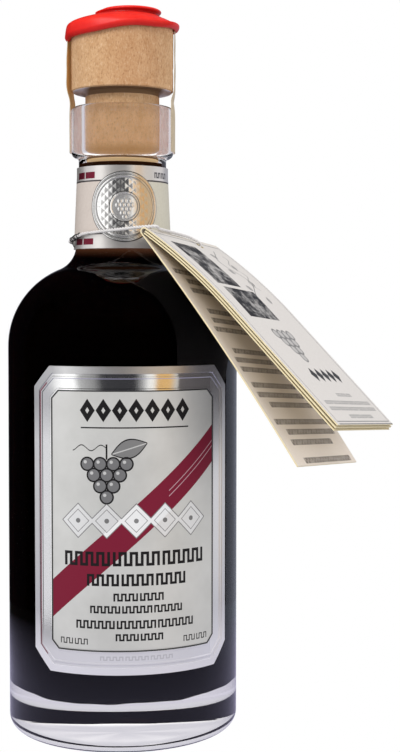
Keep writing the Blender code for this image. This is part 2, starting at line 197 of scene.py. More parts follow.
CARD_COLUMNS = 28
OUTSIDE, INSIDE, CARD_EDGE, FOLD_BACK, LOWER_BACK = range(5)
COVER_SIDES = (
    # each strip's finish, from the upper leaf's end along the outer face and back along the inner one
    [OUTSIDE] * (LEAF_STEPS - 1)
    + [FOLD_BACK] * (FOLD_STEPS + 1)
    + [LOWER_BACK] * (LEAF_STEPS + 1)
    + [INSIDE] * (LEAF_STEPS + 1)
    + [FOLD_BACK] * (LEAF_STEPS + FOLD_STEPS)
)

# String
STRING_LOOP_RADIUS = 0.0137
STRING_ROUND_NECK = (
    # direction in degrees from -Y towards +X, height, how far out of the loop's circle
    (-45, 0.1316, 0.0),
    (-60, 0.1311, 0.0),
    (-78, 0.1303, 0.0),
    (-93, 0.1298, 0.00028),
    (-110, 0.1295, 0.0),
    (-135, 0.1292, 0.0),
    (-160, 0.129, 0.0),
    (175, 0.1288, 0.0),
    (152, 0.1287, 0.0),
    (129, 0.1286, 0.0),
    (110, 0.1285, 0.0011),
)
STRING_THROUGH_HOLE = (-0.0052, -0.0036, -0.0018, 0.0001)
STRING_OVER_FOLD = (
    # along the fold, down from the fold, height over the leaf
    (0.0261, 0.0029, 0.0007),
    (0.0238, 0.001, 0.0007),
    (0.02, 0.0004, 0.0006),
    (0.014, 0.0004, 0.0006),
    (0.007, 0.0004, 0.0006),
    (0.001, 0.0004, 0.0006),
)
# The knot's two ends: direction in degrees, height
KNOT_START = (-60, 0.1311)
KNOT_END = (-84, 0.13)
KNOT_TURNS = 5.5
KNOT_STEPS = 160
KNOT_THREAD_RADIUS = 0.00014
KNOT_END_STEPS = 13
STRING_FINE_STEPS = 60
STRING_POINTS = 900
STRING_TWISTS = 64
STRAND_RADIUS = 0.00024
STRAND_FROM_MIDDLE = 0.0002
TUBE_SIDES = 8


# Meshes


def linked(name, data):
    """A new object in the scene."""
    obj = bpy.data.objects.new(name, data)
    bpy.context.scene.collection.objects.link(obj)
    return obj


def dress(mesh, finishes):
    for finish in finishes:
        mesh.materials.append(finish.mat)


def piece(name, mesh, finishes, slot, *nodes):
    """Puts a finished mesh in the scene as a piece that stands for CAD nodes."""
    mesh.shade_smooth()
    mesh.set_sharp_from_angle(angle=SHARP_ANGLE)
    obj = linked(name, mesh)
    if not mesh.materials:
        dress(mesh, finishes)
    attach(obj, "root")
    if nodes:
        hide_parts(*nodes)
    return obj


def sheet_faces(row_count, across, wrap=False, closed=False, start=0):
    """Quads through rows of points; wrap joins each row's ends, closed joins the last row to the first."""
    faces = []
    for row in range(row_count if closed else row_count - 1):
        low = start + row * across
        high = start + (row + 1) % row_count * across
        for column in range(across if wrap else across - 1):
            after = (column + 1) % across
            faces.append((low + column, low + after, high + after, high + column))
    return faces


def sheet_mesh(name, rows, wrap=False, closed=False, caps=False):
    """A mesh through rows of points; caps closes both ends with one face each."""
    across = len(rows[0])
    verts = [point for row in rows for point in row]
    faces = sheet_faces(len(rows), across, wrap, closed)
    if caps:
        faces.append(tuple(range(across)))
        faces.append(tuple(range(len(verts) - across, len(verts))))
    return outward_mesh(name, verts, faces)


def outward_mesh(name, verts, faces):
    bm = bmesh.new()
    made = [bm.verts.new(point) for point in verts]
    for face in faces:
        bm.faces.new([made[index] for index in face])
    bmesh.ops.recalc_face_normals(bm, faces=bm.faces)
    return mesh_from(name, bm)


def mesh_from(name, bm):
    mesh = bpy.data.meshes.new(name)
    bm.to_mesh(mesh)
    bm.free()
    return mesh


def set_field(mesh, name, values):
    """Stores one number for each vertex, which a material reads by its name."""
    attribute = mesh.attributes.new(name, "FLOAT", "POINT")
    attribute.data.foreach_set("value", values)


def set_print(mesh, across, along):
    """Stores where each vertex lies in the print, in millimetres."""
    set_field(mesh, "print_u", across)
    set_field(mesh, "print_v", along)


def directions(count):
    """Angles evenly round a circle."""
    return [2 * math.pi * step / count for step in range(count)]


def around(turn, radius, height):
    """A place round the Z axis, at a direction in radians from -Y towards +X."""
    return radius * math.sin(turn), -radius * math.cos(turn), height


def turned_mesh(name, outline, shape=None, turns=TURNS, closed=False):
    """Turns an outline of (radius, height) round the Z axis; its ends are joined or capped."""
    rows = []
    for radius, height in outline:
        row = []
        for turn in directions(turns):
            far, high = shape(radius, height, turn) if shape else (radius, height)
            row.append(around(turn, far, high))
        rows.append(row)
    return sheet_mesh(name, rows, wrap=True, closed=closed, caps=not closed)


def arc(centre, radius, start, end, steps):
    """Points of (radius, height) round a centre, with angles in degrees from the outward direction."""
    points = []
    for step in range(steps + 1):
        angle = math.radians(start + (end - start) * step / steps)
        points.append((centre[0] + radius * math.cos(angle), centre[1] + radius * math.sin(angle)))
    return points


def refined(outline, longest):
    """The same outline with points added so that no step is longer than given."""
    points = [outline[0]]
    for first, second in zip(outline, outline[1:]):
        count = max(1, math.ceil(math.dist(first, second) / longest))
        for step in range(1, count + 1):
            share = step / count
            points.append(tuple(a + (b - a) * share for a, b in zip(first, second)))
    return points


def shoulder(offset, steps, neck_radius):
    """The shoulder's arc and the hollow fillet up to the neck, bottom to top, moved in by offset."""
    centre = (BODY_RADIUS - SHOULDER_RADIUS, SHOULDER_START)
    round_radius = SHOULDER_RADIUS - offset
    fillet = NECK_FILLET + offset
    across = neck_radius + fillet - centre[0]
    rise = math.sqrt((round_radius + fillet) ** 2 - across**2)
    fillet_centre = (neck_radius + fillet, centre[1] + rise)
    meet = math.degrees(math.atan2(rise, across))
    points = arc(centre, round_radius, 0, meet, steps)
    points += arc(fillet_centre, fillet, meet + 180, 180, steps // 2)[1:]
    return points


def neck_radius_at(height):
    """The glass neck's outer radius between the shoulder's fillet and the lip."""
    fillet_top = shoulder(0.0, 2, NECK_LOW_RADIUS)[-1][1]
    if height <= fillet_top:
        rise = fillet_top - height
        return NECK_LOW_RADIUS + NECK_FILLET - math.sqrt(NECK_FILLET**2 - rise**2)
    share = min(1.0, (height - fillet_top) / (NECK_TAPER_END - fillet_top))
    return NECK_LOW_RADIUS + (NECK_TOP_RADIUS - NECK_LOW_RADIUS) * share


# Materials


def link_or_set(tree, value, socket):
    """Feeds a socket from a field or another node's output, or sets its own number or colour."""
    if isinstance(value, Field):
        value = value.socket
    if isinstance(value, bpy.types.NodeSocket):
        tree.links.new(value, socket)
    elif isinstance(value, tuple) and len(socket.default_value) == 4:
        socket.default_value = (*value, 1.0)
    else:
        socket.default_value = value


class Field:
    """A number that varies over a surface; arithmetic on it makes Math nodes."""

    def __init__(self, tree, socket):
        self.tree = tree
        self.socket = socket

    def make(self, operation, *others):
        node = self.tree.nodes.new("ShaderNodeMath")
        node.operation = operation
        for value, socket in zip((self, *others), node.inputs):
            link_or_set(self.tree, value, socket)
        return Field(self.tree, node.outputs[0])

    def __add__(self, other):
        return self.make("ADD", other)

    def __sub__(self, other):
        return self.make("SUBTRACT", other)

    def __mul__(self, other):
        return self.make("MULTIPLY", other)

    def __truediv__(self, other):
        return self.make("DIVIDE", other)

    def __mod__(self, other):
        return self.make("FLOORED_MODULO", other)

    def __abs__(self):
        return self.make("ABSOLUTE")

    def below(self, other):
        return self.make("LESS_THAN", other)

    def above(self, other):
        return self.make("GREATER_THAN", other)

    def larger(self, other):
        return self.make("MAXIMUM", other)

    def smaller(self, other):
        return self.make("MINIMUM", other)

    def root(self):
        return self.make("SQRT")

    def sine(self):
        return self.make("SINE")


class Nodes:
    """Helpers that add nodes to one material or world."""

    def __init__(self, tree):
        self.tree = tree

    def add(self, kind, **inputs):
        node = self.tree.nodes.new("ShaderNode" + kind)
        for key, value in inputs.items():
            link_or_set(self.tree, value, node.inputs[key.replace("_", " ")])
        return node

    def axes(self, space="Object"):
        """X, Y and Z: an object's own, in metres, or the direction in the world when it is Generated."""
        split = self.add("SeparateXYZ", Vector=self.add("TexCoord").outputs[space])
        return [Field(self.tree, split.outputs[key]) for key in "XYZ"]

    def seen_by(self, ray):
        """1 for rays of one kind and 0 for the others."""
        return Field(self.tree, self.add("LightPath").outputs[f"Is {ray} Ray"])

    def between(self, factor, low, high, interpolation="LINEAR"):
        """Moves a factor from low..high to 0..1, held inside."""
        node = self.add("MapRange", Value=factor, From_Min=low, From_Max=high)
        node.interpolation_type = interpolation
        return Field(self.tree, node.outputs["Result"])

    def mix(self, factor, first, second):
        """A colour between two colours."""
        node = self.add("Mix")
        node.data_type = "RGBA"
        for value, index in ((factor, 0), (first, 6), (second, 7)):
            link_or_set(self.tree, value, node.inputs[index])
        return node.outputs[2]

    def blend(self, factor, first, second):
        """A number between two numbers."""
        node = self.add("Mix")
        for value, index in ((factor, 0), (first, 2), (second, 3)):
            link_or_set(self.tree, value, node.inputs[index])
        return Field(self.tree, node.outputs[0])


class Finish(Nodes):
    """One material: its shader, and the base colour that is laid on it in layers."""

    def __init__(self, name, colour, roughness, **settings):
        self.mat = bpy.data.materials.new(name)
        self.mat.use_nodes = True
        super().__init__(self.mat.node_tree)
        self.shader = self.tree.nodes["Principled BSDF"]
        self.output = self.tree.nodes["Material Output"]
        self.paint(colour)
        self.set("Roughness", roughness)
        for key, value in settings.items():
            self.set(key.replace("_", " "), value)

    def set(self, key, value):
        link_or_set(self.tree, value, self.shader.inputs[key])

    def paint(self, colour, mask=None):
        """Lays a colour over the base colour, where the mask says or all over."""
        self.colour = colour if mask is None else self.mix(mask, self.colour, colour)
        self.set("Base Color", self.colour)

    def glow(self, colour, strength):
        self.set("Emission Color", colour)
        self.set("Emission Strength", strength)

    def only_glow(self, colour):
        """Makes the surface give off a colour and do nothing else."""
        emission = self.add("Emission", Color=colour)
        self.tree.links.new(emission.outputs["Emission"], self.output.inputs["Surface"])

    def field(self, name):
        """A number that is stored on the mesh."""
        node = self.add("Attribute")
        node.attribute_name = name
        return Field(self.tree, node.outputs["Fac"])

    def print_place(self):
        """Across and up in the print, or along and down from the tag's fold, in millimetres."""
        return self.field("print_u"), self.field("print_v")

    def grain(self, scale, detail=4.0, roughness=0.6, stretch=(1.0, 1.0, 1.0), distortion=0.0):
        """Noise from 0 to 1, with scale in bumps for each metre."""
        place = self.add("Mapping", Vector=self.add("TexCoord").outputs["Object"], Scale=stretch)
        settings = {"Scale": scale, "Detail": detail, "Roughness": roughness, "Distortion": distortion}
        node = self.add("TexNoise", Vector=place.outputs["Vector"], **settings)
        return Field(self.tree, node.outputs["Fac"])

    def shades(self, field, low, high, dark, light):
        """From a dark colour to a light one as a field goes from low to high."""
        return self.mix(self.between(field, low, high), dark, light)

    def bump(self, height, distance, strength=1.0):
        node = self.add("Bump", Height=height, Distance=distance, Strength=strength)
        self.set("Normal", node.outputs["Normal"])


def disc(u, v, place, radius):
    """Distance outside a circle's edge."""
    du = u - place[0]
    dv = v - place[1]
    return (du * du + dv * dv).root() - radius


def box(u, v, place, half_width, half_height):
    """Distance outside a rectangle's edge."""
    return (abs(u - place[0]) - half_width).larger(abs(v - place[1]) - half_height)


def lozenge(u, v, place, half_width, half_height):
    """Below zero inside a lozenge."""
    return abs(u - place[0]) / half_width + abs(v - place[1]) / half_height - 1.0


def outline_of(distance, half_width):
    return abs(distance).below(half_width)


def key_row(u, v, place, height, step, count, groups, stroke):
    """A broken key pattern: upright strokes joined in turn at the top and at the foot, in groups."""
    length = (groups * (count + 1) - 1) * step
    along = u - (place[0] - length * HALF)
    inside = along.above(0.0) * along.below(length + stroke)
    inside = inside * (abs(v - place[1]) - height * HALF).below(0.0)
    inside = inside * (along % ((count + 1) * step)).below(count * step + stroke)
    upright = (along % step).below(stroke)
    pair = along % (2.0 * step)
    top = (v - place[1]).above(height * HALF - stroke) * pair.below(step)
    foot = (v - place[1]).below(stroke - height * HALF) * pair.above(step)
    return inside * upright.larger(top).larger(foot)


def bunch_places(place, spacing, drop, counts):
    """The middles of round fruit in rows, each row under the one before."""
    for row, count in enumerate(counts):
        for number in range(count):
            yield place[0] + (number - (count - 1) * HALF) * spacing, place[1] + row * drop


def nearest(distances):
    return functools.reduce(Field.smaller, distances)


def leaf_distance(u, v, place, length, half_width, tilt):
    """Below zero inside a pointed leaf that grows from a place at a tilt; and across its midrib."""
    du = u - place[0]
    dv = v - place[1]
    along = (du * math.cos(tilt) + dv * math.sin(tilt)) / length
    across = abs(dv * math.cos(tilt) - du * math.sin(tilt))
    span = along.above(0.0) * along.below(1.0)
    outside = across - (along * math.pi).sine() * half_width
    return outside + (span * -10.0 + 10.0), across + (span * -10.0 + 10.0)


# Glass bottle and vinegar


def inner_outline(offset, steps):
    """The hollow's wall from the middle of the floor up to the bore, moved in by offset."""
    wall = BODY_RADIUS - WALL - offset
    floor = FLOOR + offset
    points = [(AXIS_RADIUS, floor)]
    points += refined([(0.0, floor), (wall - FLOOR_CORNER, floor)], 0.001)[1:]
    points += arc((wall - FLOOR_CORNER, floor + FLOOR_CORNER), FLOOR_CORNER, -90, 0, steps)[1:]
    points += refined([(wall, floor + FLOOR_CORNER), (wall, SHOULDER_START - 0.001)], 0.004)[1:]
    points += shoulder(WALL + offset, 2 * steps, BORE_RADIUS - offset)
    return points


def uneven_inside(radius, height, turn):
    """Pressed glass is never quite even inside: the thick floor least of all."""
    if height > 0.1:
        return radius, height
    share = radius / BODY_RADIUS
    low = max(0.0, 1.0 - (height - FLOOR) / 0.02)
    lift = 0.00042 * math.sin(2 * turn + 0.6) + 0.00028 * math.sin(5 * turn + 1.9)
    lift += 0.00018 * math.sin(9 * turn + 0.4) + 0.0001 * math.sin(17 * turn + 2.2)
    ripple = 0.00006 * math.sin(3 * turn + height * 160.0) + 0.00003 * math.sin(8 * turn - height * 90.0)
    return radius + share * ripple, height + lift * low * share**2


def make_bottle(finish):
    outline = inner_outline(0.0, 16)
    outline += refined([outline[-1], (BORE_RADIUS, BORE_END)], 0.004)[1:]
    outline += [(BORE_RADIUS, LIP_TOP - BORE_ROUND)]
    outline += arc((BORE_RADIUS + BORE_ROUND, LIP_TOP - BORE_ROUND), BORE_ROUND, 180, 90, 5)[1:]
    outline += arc((LIP_RADIUS - LIP_TOP_ROUND, LIP_TOP - LIP_TOP_ROUND), LIP_TOP_ROUND, 90, 0, 8)
    lip_low = (LIP_RADIUS - LIP_LOWER_ROUND, LIP_UNDERSIDE + LIP_LOWER_ROUND)
    outline += arc(lip_low, LIP_LOWER_ROUND, 0, -90, 10)
    outline += [(NECK_TOP_RADIUS, LIP_UNDERSIDE - 0.0006), (NECK_TOP_RADIUS, NECK_TAPER_END)]
    outline += reversed(shoulder(0.0, 32, NECK_LOW_RADIUS))
    outline += arc((BODY_RADIUS - HEEL_RADIUS, HEEL_RADIUS), HEEL_RADIUS, 0, -90, 16)
    for step in range(1, PUSH_UP_STEPS):
        angle = step / PUSH_UP_STEPS * math.pi * HALF
        outline.append((PUSH_UP_RADIUS * math.cos(angle), PUSH_UP_DEPTH * math.sin(angle) ** 1.9))
    outline.append((AXIS_RADIUS, PUSH_UP_DEPTH))
    mesh = turned_mesh("glass", outline, glass_shape)
    return piece("glass", mesh, [finish], "clear_glass", "glass_bottle")


def glass_shape(radius, height, turn):
    """Uneven inside and in the push-up, and even everywhere else."""
    if radius < BODY_RADIUS - WALL + 0.0004 and height > FLOOR - 0.002:
        return uneven_inside(radius, height, turn)
    if radius < PUSH_UP_RADIUS and height < 2.0 * PUSH_UP_DEPTH:
        ripple = 0.22 * math.sin(3 * turn + 0.5) + 0.14 * math.sin(7 * turn + 2.0)
        return radius, height * (1.0 + ripple * radius / PUSH_UP_RADIUS)
    return radius, height


def glass_finish():
    return Finish("clear_glass", (0.975, 0.972, 0.99), 0.0, IOR=1.5, Transmission_Weight=1.0)


def make_vinegar(finish):
    """The drink reaches just into the wall, and its edge climbs the bore a little."""
    wall = inner_outline(-INTO_WALL, 16)
    bore = BORE_RADIUS + INTO_WALL
    wall += refined([wall[-1], (bore, VINEGAR_LEVEL + MENISCUS_RISE)], 0.002)[1:]
    for step in range(1, MENISCUS_STEPS + 1):
        share = step / MENISCUS_STEPS
        radius = bore * (1.0 - share) + AXIS_RADIUS * share
        climb = math.exp(-((bore - radius) / (MENISCUS_WIDTH * HALF)))
        wall.append((radius, VINEGAR_LEVEL + MENISCUS_RISE * climb))
    mesh = turned_mesh("dark_drink", wall, uneven_inside)
    return piece("dark_drink", mesh, [finish], "dark_vinegar", "vinegar")


def vinegar_finish():
    """Nearly black; a painted brown glow under the neck band stands in for the little light that gets
    through there.
    """
    finish = Finish("dark_vinegar", WHITE, 0.0, IOR=1.03, Transmission_Weight=1.0)
    height = finish.axes()[2]
    # Painted glow: the drink gives off brown light just under the neck band.
    glow = finish.between(height, BAND_BOTTOM - 0.0034, BAND_BOTTOM)
    glow = glow * glow * (height.below(BAND_BOTTOM + 0.002) * 0.8 + 0.2)
    finish.glow(finish.mix(glow, BLACK, (0.082, 0.03, 0.014)), 1.0)
    volume = finish.add("VolumeAbsorption", Color=(0.35, 0.1, 0.05), Density=34000.0)
    finish.tree.links.new(volume.outputs["Volume"], finish.output.inputs["Volume"])
    return finish


# Stopper


def cork_shape(radius, height, turn):
    """Fine pressed granules, and a few shallow pits."""
    place = Vector(around(turn, radius, height * 0.6))
    granules = noise.noise(place * 1700.0) * 0.00003 + noise.noise(place * 700.0) * 0.00003
    pits = max(0.0, noise.noise(place * 520.0 + Vector((9.0, 4.0, 2.0))) - 0.42) * 0.0005
    return radius + granules - pits, height


def make_stopper(finish):
    """The head over the lip, a fillet under it and the shank down the bore."""
    outline = [(AXIS_RADIUS, HEAD_TOP), (HEAD_HIGH_RADIUS - HEAD_EDGE, HEAD_TOP)]
    outline += [(HEAD_HIGH_RADIUS, HEAD_TOP - HEAD_EDGE)]
    outline += [(HEAD_LOW_RADIUS, HEAD_BOTTOM + HEAD_EDGE), (HEAD_LOW_RADIUS - HEAD_EDGE, HEAD_BOTTOM)]
    fillet = (SHANK_RADIUS + SHANK_FILLET, HEAD_BOTTOM - SHANK_FILLET)
    outline += arc(fillet, SHANK_FILLET, 90, 180, 6)
    outline += [(SHANK_RADIUS, SHANK_END + HEAD_EDGE), (SHANK_RADIUS - HEAD_EDGE, SHANK_END)]
    outline += [(AXIS_RADIUS, SHANK_END)]
    mesh = turned_mesh("cork_stopper", refined(outline, 0.0003), cork_shape, turns=220)
    return piece("cork_stopper", mesh, [finish], "pale_cork", "stopper")


def cork_finish():
    """Pressed cork with upright flecks; warmer and lighter in the lip, partly wet cork and partly painted
    light, with a faint painted glow there; painted shadow above the shank's end, painted shade across the
    head's middle and under the head, with painted pale lavender light at the underside's edge; and its
    lower face painted glowing gold in place of light from below.
    """
    finish = Finish("pale_cork", (0.57, 0.37, 0.2), 0.8)
    x, _, z = finish.axes()
    in_lip = finish.between(z, LIP_TOP + 0.0006, LIP_TOP - 0.0006)
    flecks = finish.grain(2700.0, detail=3.0, stretch=(1.0, 1.0, 0.5))
    patches = finish.grain(420.0, detail=5.0, stretch=(1.0, 1.0, 0.5))
    # In the lip the cork is warmer, as wet cork, and lighter, as painted light standing in for light
    # through the glass.
    dark = finish.mix(in_lip, (0.53, 0.3, 0.14), (0.8, 0.44, 0.17))
    light = finish.mix(in_lip, (0.66, 0.415, 0.22), (0.95, 0.58, 0.27))
    finish.paint(finish.shades(patches, 0.3, 0.7, dark, light))
    pits = finish.mix(in_lip, (0.25, 0.11, 0.04), (0.5, 0.26, 0.1))
    finish.paint(pits, finish.between(flecks, 0.54, 0.68) * 0.5)
    finish.paint((0.8, 0.6, 0.4), finish.between(flecks, 0.44, 0.3) * 0.55)
    finish.paint((0.5, 0.23, 0.035), finish.between(z, 0.1555, 0.1528))
    # Painted shadow: a dark line just above the shank's end.
    finish.paint((0.1, 0.045, 0.012), finish.between(z, SHANK_END + 0.0013, SHANK_END + 0.0008))
    # Painted light: the shank's lower face is pale gold and glows, and the cork in the lip glows faintly.
    foot = z.below(SHANK_END + 0.00025)
    finish.paint((0.7, 0.47, 0.24), foot)
    glow = finish.mix(in_lip, BLACK, (0.13, 0.07, 0.03))
    finish.glow(finish.mix(foot, glow, (0.68, 0.46, 0.22)), 0.7)
    # Painted shade across the middle of the head.
    middle = finish.between(x, -0.009, -0.001) * finish.between(x, 0.0125, 0.007) * z.above(HEAD_BOTTOM)
    finish.paint((0.29, 0.085, 0.02), middle * 0.25)
    # Painted shade and light under the head: dark brown beside the shank, pale lavender towards its edge.
    under = z.below(HEAD_BOTTOM + 0.00012) * z.above(HEAD_BOTTOM - 0.0012)
    finish.paint(finish.shades(abs(x), 0.0092, 0.0108, (0.2, 0.11, 0.05), (0.62, 0.57, 0.64)), under)
    finish.bump(flecks, 0.00012, 0.6)
    return finish


# Sealing wax


def bump_at(turn, centre, width):
    """A smooth bump of height 1 round a direction, in radians."""
    away = (turn - centre + math.pi) % (2 * math.pi) - math.pi
    return math.exp(-((away / width) ** 2))


def wax_edge(turn):
    """The height of the wax's hanging lower edge at a direction measured from -Y towards +X."""
    height = WAX_EDGE
    for count, depth, phase in WAX_WAVES:
        height += depth * math.sin(count * turn + phase)
    for centre, width, depth in WAX_SAGS:
        height -= depth * bump_at(turn, centre, width)
    return height


def between_knots(a, b, c, d, t):
    """A value on the smooth curve from b to c, where a and d come before and after; numbers or vectors."""
    first = 2 * b + (c - a) * t
    return HALF * (first + (2 * a - 5 * b + 4 * c - d) * t**2 + (3 * b - a - 3 * c + d) * t**3)


def smooth_through(points, steps):
    """A smooth line of tuples through the given ones, open at both ends."""
    made = []
    last = len(points) - 1
    for index in range(last):
        p0, p1, p2, p3 = (points[min(max(index + shift, 0), last)] for shift in (-1, 0, 1, 2))
        for step in range(steps):
            t = step / steps
            made.append(tuple(between_knots(a, b, c, d, t) for a, b, c, d in zip(p0, p1, p2, p3)))
    made.append(points[last])
    return made


FRUIT_ROWS = (3, 4, 3, 2, 1)


def cluster(x, y, size):
    """Relief of a bunch of round fruit with a short stem, from 0 to 1; size is its half height."""
    fruit = size * 0.235
    best = 0.0
    for cx, cy in bunch_places((0.0, size * 0.52), fruit * 1.9, -fruit * 1.62, FRUIT_ROWS):
        away = math.hypot(x - cx, y - cy) / fruit
        best = max(best, math.sqrt(max(0.0, 1.0 - away**2)))
    if size * 0.6 < y < size and abs(x - (y - size * 0.6) * 0.3) < size * 0.07:
        best = max(best, 0.6)
    return best


def stamp_height(radius, turn):
    """The stamped disc: a round rim, a sunk field and a raised bunch in it."""
    x, y, _ = around(turn, radius, 0.0)
    rim = 1.0 / (1.0 + math.exp(-(radius - 0.0047) / 0.00012))
    motif = cluster(x, y, 0.0042)
    return STAMP_TOP - 0.00045 * (1.0 - rim) * (1.0 - 0.8 * motif)


def wax_bumps(point):
    """Slow unevenness of poured wax."""
    x, y, z = point
    place = Vector(point)
    lift = noise.noise(place * 260.0) * 0.00007 + noise.noise(place * 700.0) * 0.00002
    return x * (1.0 + lift * 20.0), y * (1.0 + lift * 20.0), z


def make_wax(finish):
    """The stamped disc from its middle out, then the cap down to its rim and back in over the cork."""
    rows = []
    for step in range(1, STAMP_STEPS + 1):
        radius = STAMP_RADIUS * step / STAMP_STEPS - 0.0001
        centre = STAMP_CENTRE - 0.0002 * step / STAMP_STEPS
        row = []
        for turn in directions(TURNS):
            x, y, z = around(turn, radius, stamp_height(radius, turn))
            row.append((centre + x, y, z))
        rows.append(row)
    columns = []
    for turn in directions(TURNS):
        edge = wax_edge(turn)
        fill = WAX_FILL * bump_at(turn, WAX_FILL_TURN, WAX_FILL_WIDTH)
        knots = list(WAX_RINGS)
        for index in (3, 4, 5):
            radius, height, shift = knots[index]
            knots[index] = (radius + fill, height, shift)
        knots += [(radius, edge + rise, 0.0) for radius, rise in WAX_RIM]
        points = []
        for radius, height, shift in smooth_through(knots, 4):
            x, y, z = around(turn, radius, height)
            points.append(wax_bumps((shift + x, y, z)))
        columns.append(points)
    rows += [list(row) for row in zip(*columns)]
    for height in WAX_INSIDE:
        rows.append([(x * WAX_INSIDE_SCALE, y * WAX_INSIDE_SCALE, height) for x, y, _ in rows[-1]])
    mesh = sheet_mesh("wax_cap", rows, wrap=True, caps=True)
    return piece("wax_cap", mesh, [finish], "red_wax", "wax_seal")


def wax_finish():
    """Soft red, with painted shade in the groove under the disc and towards the hanging edge."""
    finish = Finish("red_wax", (0.78, 0.018, 0.01), 0.33, Subsurface_Weight=0.15, Subsurface_Scale=0.0012)
    cloud = finish.grain(300.0, detail=3.0)
    finish.paint(finish.shades(cloud, 0.3, 0.7, (0.66, 0.012, 0.007), (0.76, 0.024, 0.012)))
    x, y, z = finish.axes()
    x -= 0.0021
    # Painted shade in the groove under the stamped disc.
    groove = finish.between((x * x + y * y).root(), 0.0088, 0.0082) * finish.between(z, 0.1903, 0.1899)
    finish.paint((0.36, 0.0, 0.001), groove * 0.85)
    # Painted shade towards the hanging edge.
    finish.paint((0.5, 0.004, 0.006), finish.between(z, 0.1868, 0.1845) * 0.5)
    finish.set("Roughness", finish.blend(finish.grain(900.0), 0.28, 0.42))
    finish.bump(finish.grain(1800.0, detail=2.0), 0.00004, 0.35)
    return finish


# Paper strips


def make_strip(name, side, top, finishes, node):
    """A paper strip glued to the lip, free past the gap and gone under the wax."""
    path = smooth_through(
        [
            # height, how far out, how closely it follows the round, front edge's trim and flare
            (STRIP_END, 0.0, 1.0, 0.0, 0.0),
            (STRIP_END + 0.004, 0.0, 1.0, 0.0, 0.0),
            (LIP_TOP - 0.002, 0.0, 1.0, 0.0, 0.0),
            (LIP_TOP + 0.0005, -0.0002, 0.7, 0.1, 0.1),
            ((LIP_TOP + HEAD_BOTTOM) * HALF, -0.0004, 0.4, 0.3, 0.5),
            (HEAD_BOTTOM + 0.001, -0.00005, 0.3, 0.9, 1.0),
            (HEAD_BOTTOM + 0.006, 0.0, 0.3, 1.0, 1.0),
            (top, 0.0, 0.4, 1.0, 0.6),
        ],
        6,
    )
    trim = STRIP_TRIM if side > 0 else 0.0
    flare = 0.0 if side > 0 else STRIP_FLARE
    turn = Matrix.Rotation(STRIP_TURN, 3, "Z")
    rows = []
    for height, out, conform, trimmed, flared in path:
        inner = []
        outer = []
        for step in range(STRIP_COLUMNS + 1):
            share = step / STRIP_COLUMNS
            y = STRIP_WIDTH * (share - HALF)
            y += trim * trimmed * (1.0 - share)
            sag = conform * (STRIP_INNER - math.sqrt(STRIP_INNER**2 - y * y))
            curl = 0.00006 * math.sin(height * 900.0 + y * 300.0) * (1.0 - conform)
            x = STRIP_INNER + out - sag + curl + flare * flared * (1.0 - share) ** 3
            inner.append(turn @ Vector((side * x, y, height)))
            outer.append(turn @ Vector((side * (x + STRIP_THICKNESS), y, height)))
        rows.append([tuple(point) for point in inner + outer[::-1]])
    mesh = sheet_mesh(name, rows, wrap=True, caps=True)
    piece(name, mesh, finishes, "strip_paper", node)
    for face in mesh.polygons:
        outward = Vector((face.center.x, face.center.y, 0.0)).normalized()
        face.material_index = 0 if face.normal.dot(outward) > -0.5 else 1


def strip_finishes():
    """The strips' printed side and their back, which is pale where it is glued to the lip; the back has
    painted shade under the wax and a painted glow, strongest where glued, for light through the paper.
    """
    outer = Finish("strip_paper", (0.6, 0.5, 0.33), 0.45)
    fibre = outer.grain(2200.0, stretch=(1.0, 1.0, 0.3))
    outer.paint(outer.shades(fibre, 0.3, 0.7, (0.46, 0.37, 0.24), (0.64, 0.53, 0.36)))
    outer.bump(fibre, 0.00004, 0.4)
    inner = Finish("strip_paper_back", (0.3, 0.17, 0.06), 0.6)
    z = inner.axes()[2]
    back = inner.grain(1500.0, stretch=(1.0, 1.0, 0.4))
    inner.paint(inner.shades(back, 0.3, 0.7, (0.5, 0.29, 0.09), (0.75, 0.46, 0.17)))
    # Painted shade on the back under the wax.
    inner.paint((0.1, 0.04, 0.02), inner.between(z, 0.1795, 0.184))
    glued = inner.shades(back, 0.45, 0.7, (0.97, 0.86, 0.82), (0.78, 0.5, 0.46))
    low = inner.between(z, LIP_TOP, LIP_TOP - 0.0006)
    inner.paint(glued, low)
    # Painted glow on the back, strongest where it is glued, standing in for light through the paper.
    inner.glow(inner.mix(low, (0.35, 0.19, 0.06), glued), 0.33)
    inner.bump(back, 0.00004, 0.4)
    return outer, inner


# Neck band and its foil seal

BAND_UNIT = 12.5
UPPER_MARGIN = 145.1
LOWER_MARGIN = 131.4
BURGUNDY = (0.18, 0.01, 0.03)
SEAL_ANGLE = math.radians(-3.6)
SEAL_HEIGHT = 0.13835
SEAL_RADIUS = 0.0092
SEAL_STEPS = 92
SEAL_TURNS = 260
SEAL_RINGS = ((0.955, 0.026), (0.84, 0.018), (0.385, 0.02))
LATTICE_PERIOD = 0.0021
LATTICE_HEIGHT = 0.00014


def make_band(finish):
    """A paper ring that follows the neck's outside, with its print measured round it."""
    outer = refined([(0.0, BAND_TOP), (0.0, BAND_BOTTOM)], 0.0008)
    outline = [(neck_radius_at(height) + BAND_OUT, height) for _, height in outer]
    outline.append((neck_radius_at(BAND_BOTTOM) + BAND_IN, BAND_BOTTOM))
    outline += [(neck_radius_at(height) + BAND_IN, height) for _, height in reversed(outer)]
    mesh = turned_mesh("paper_neck_band", outline, closed=True)
    across = [math.atan2(v.co.x, -v.co.y) * BAND_UNIT for v in mesh.vertices]
    set_print(mesh, across, [v.co.z / MM for v in mesh.vertices])
    return piece("paper_neck_band", mesh, [finish], "band_paper", "neck_band")


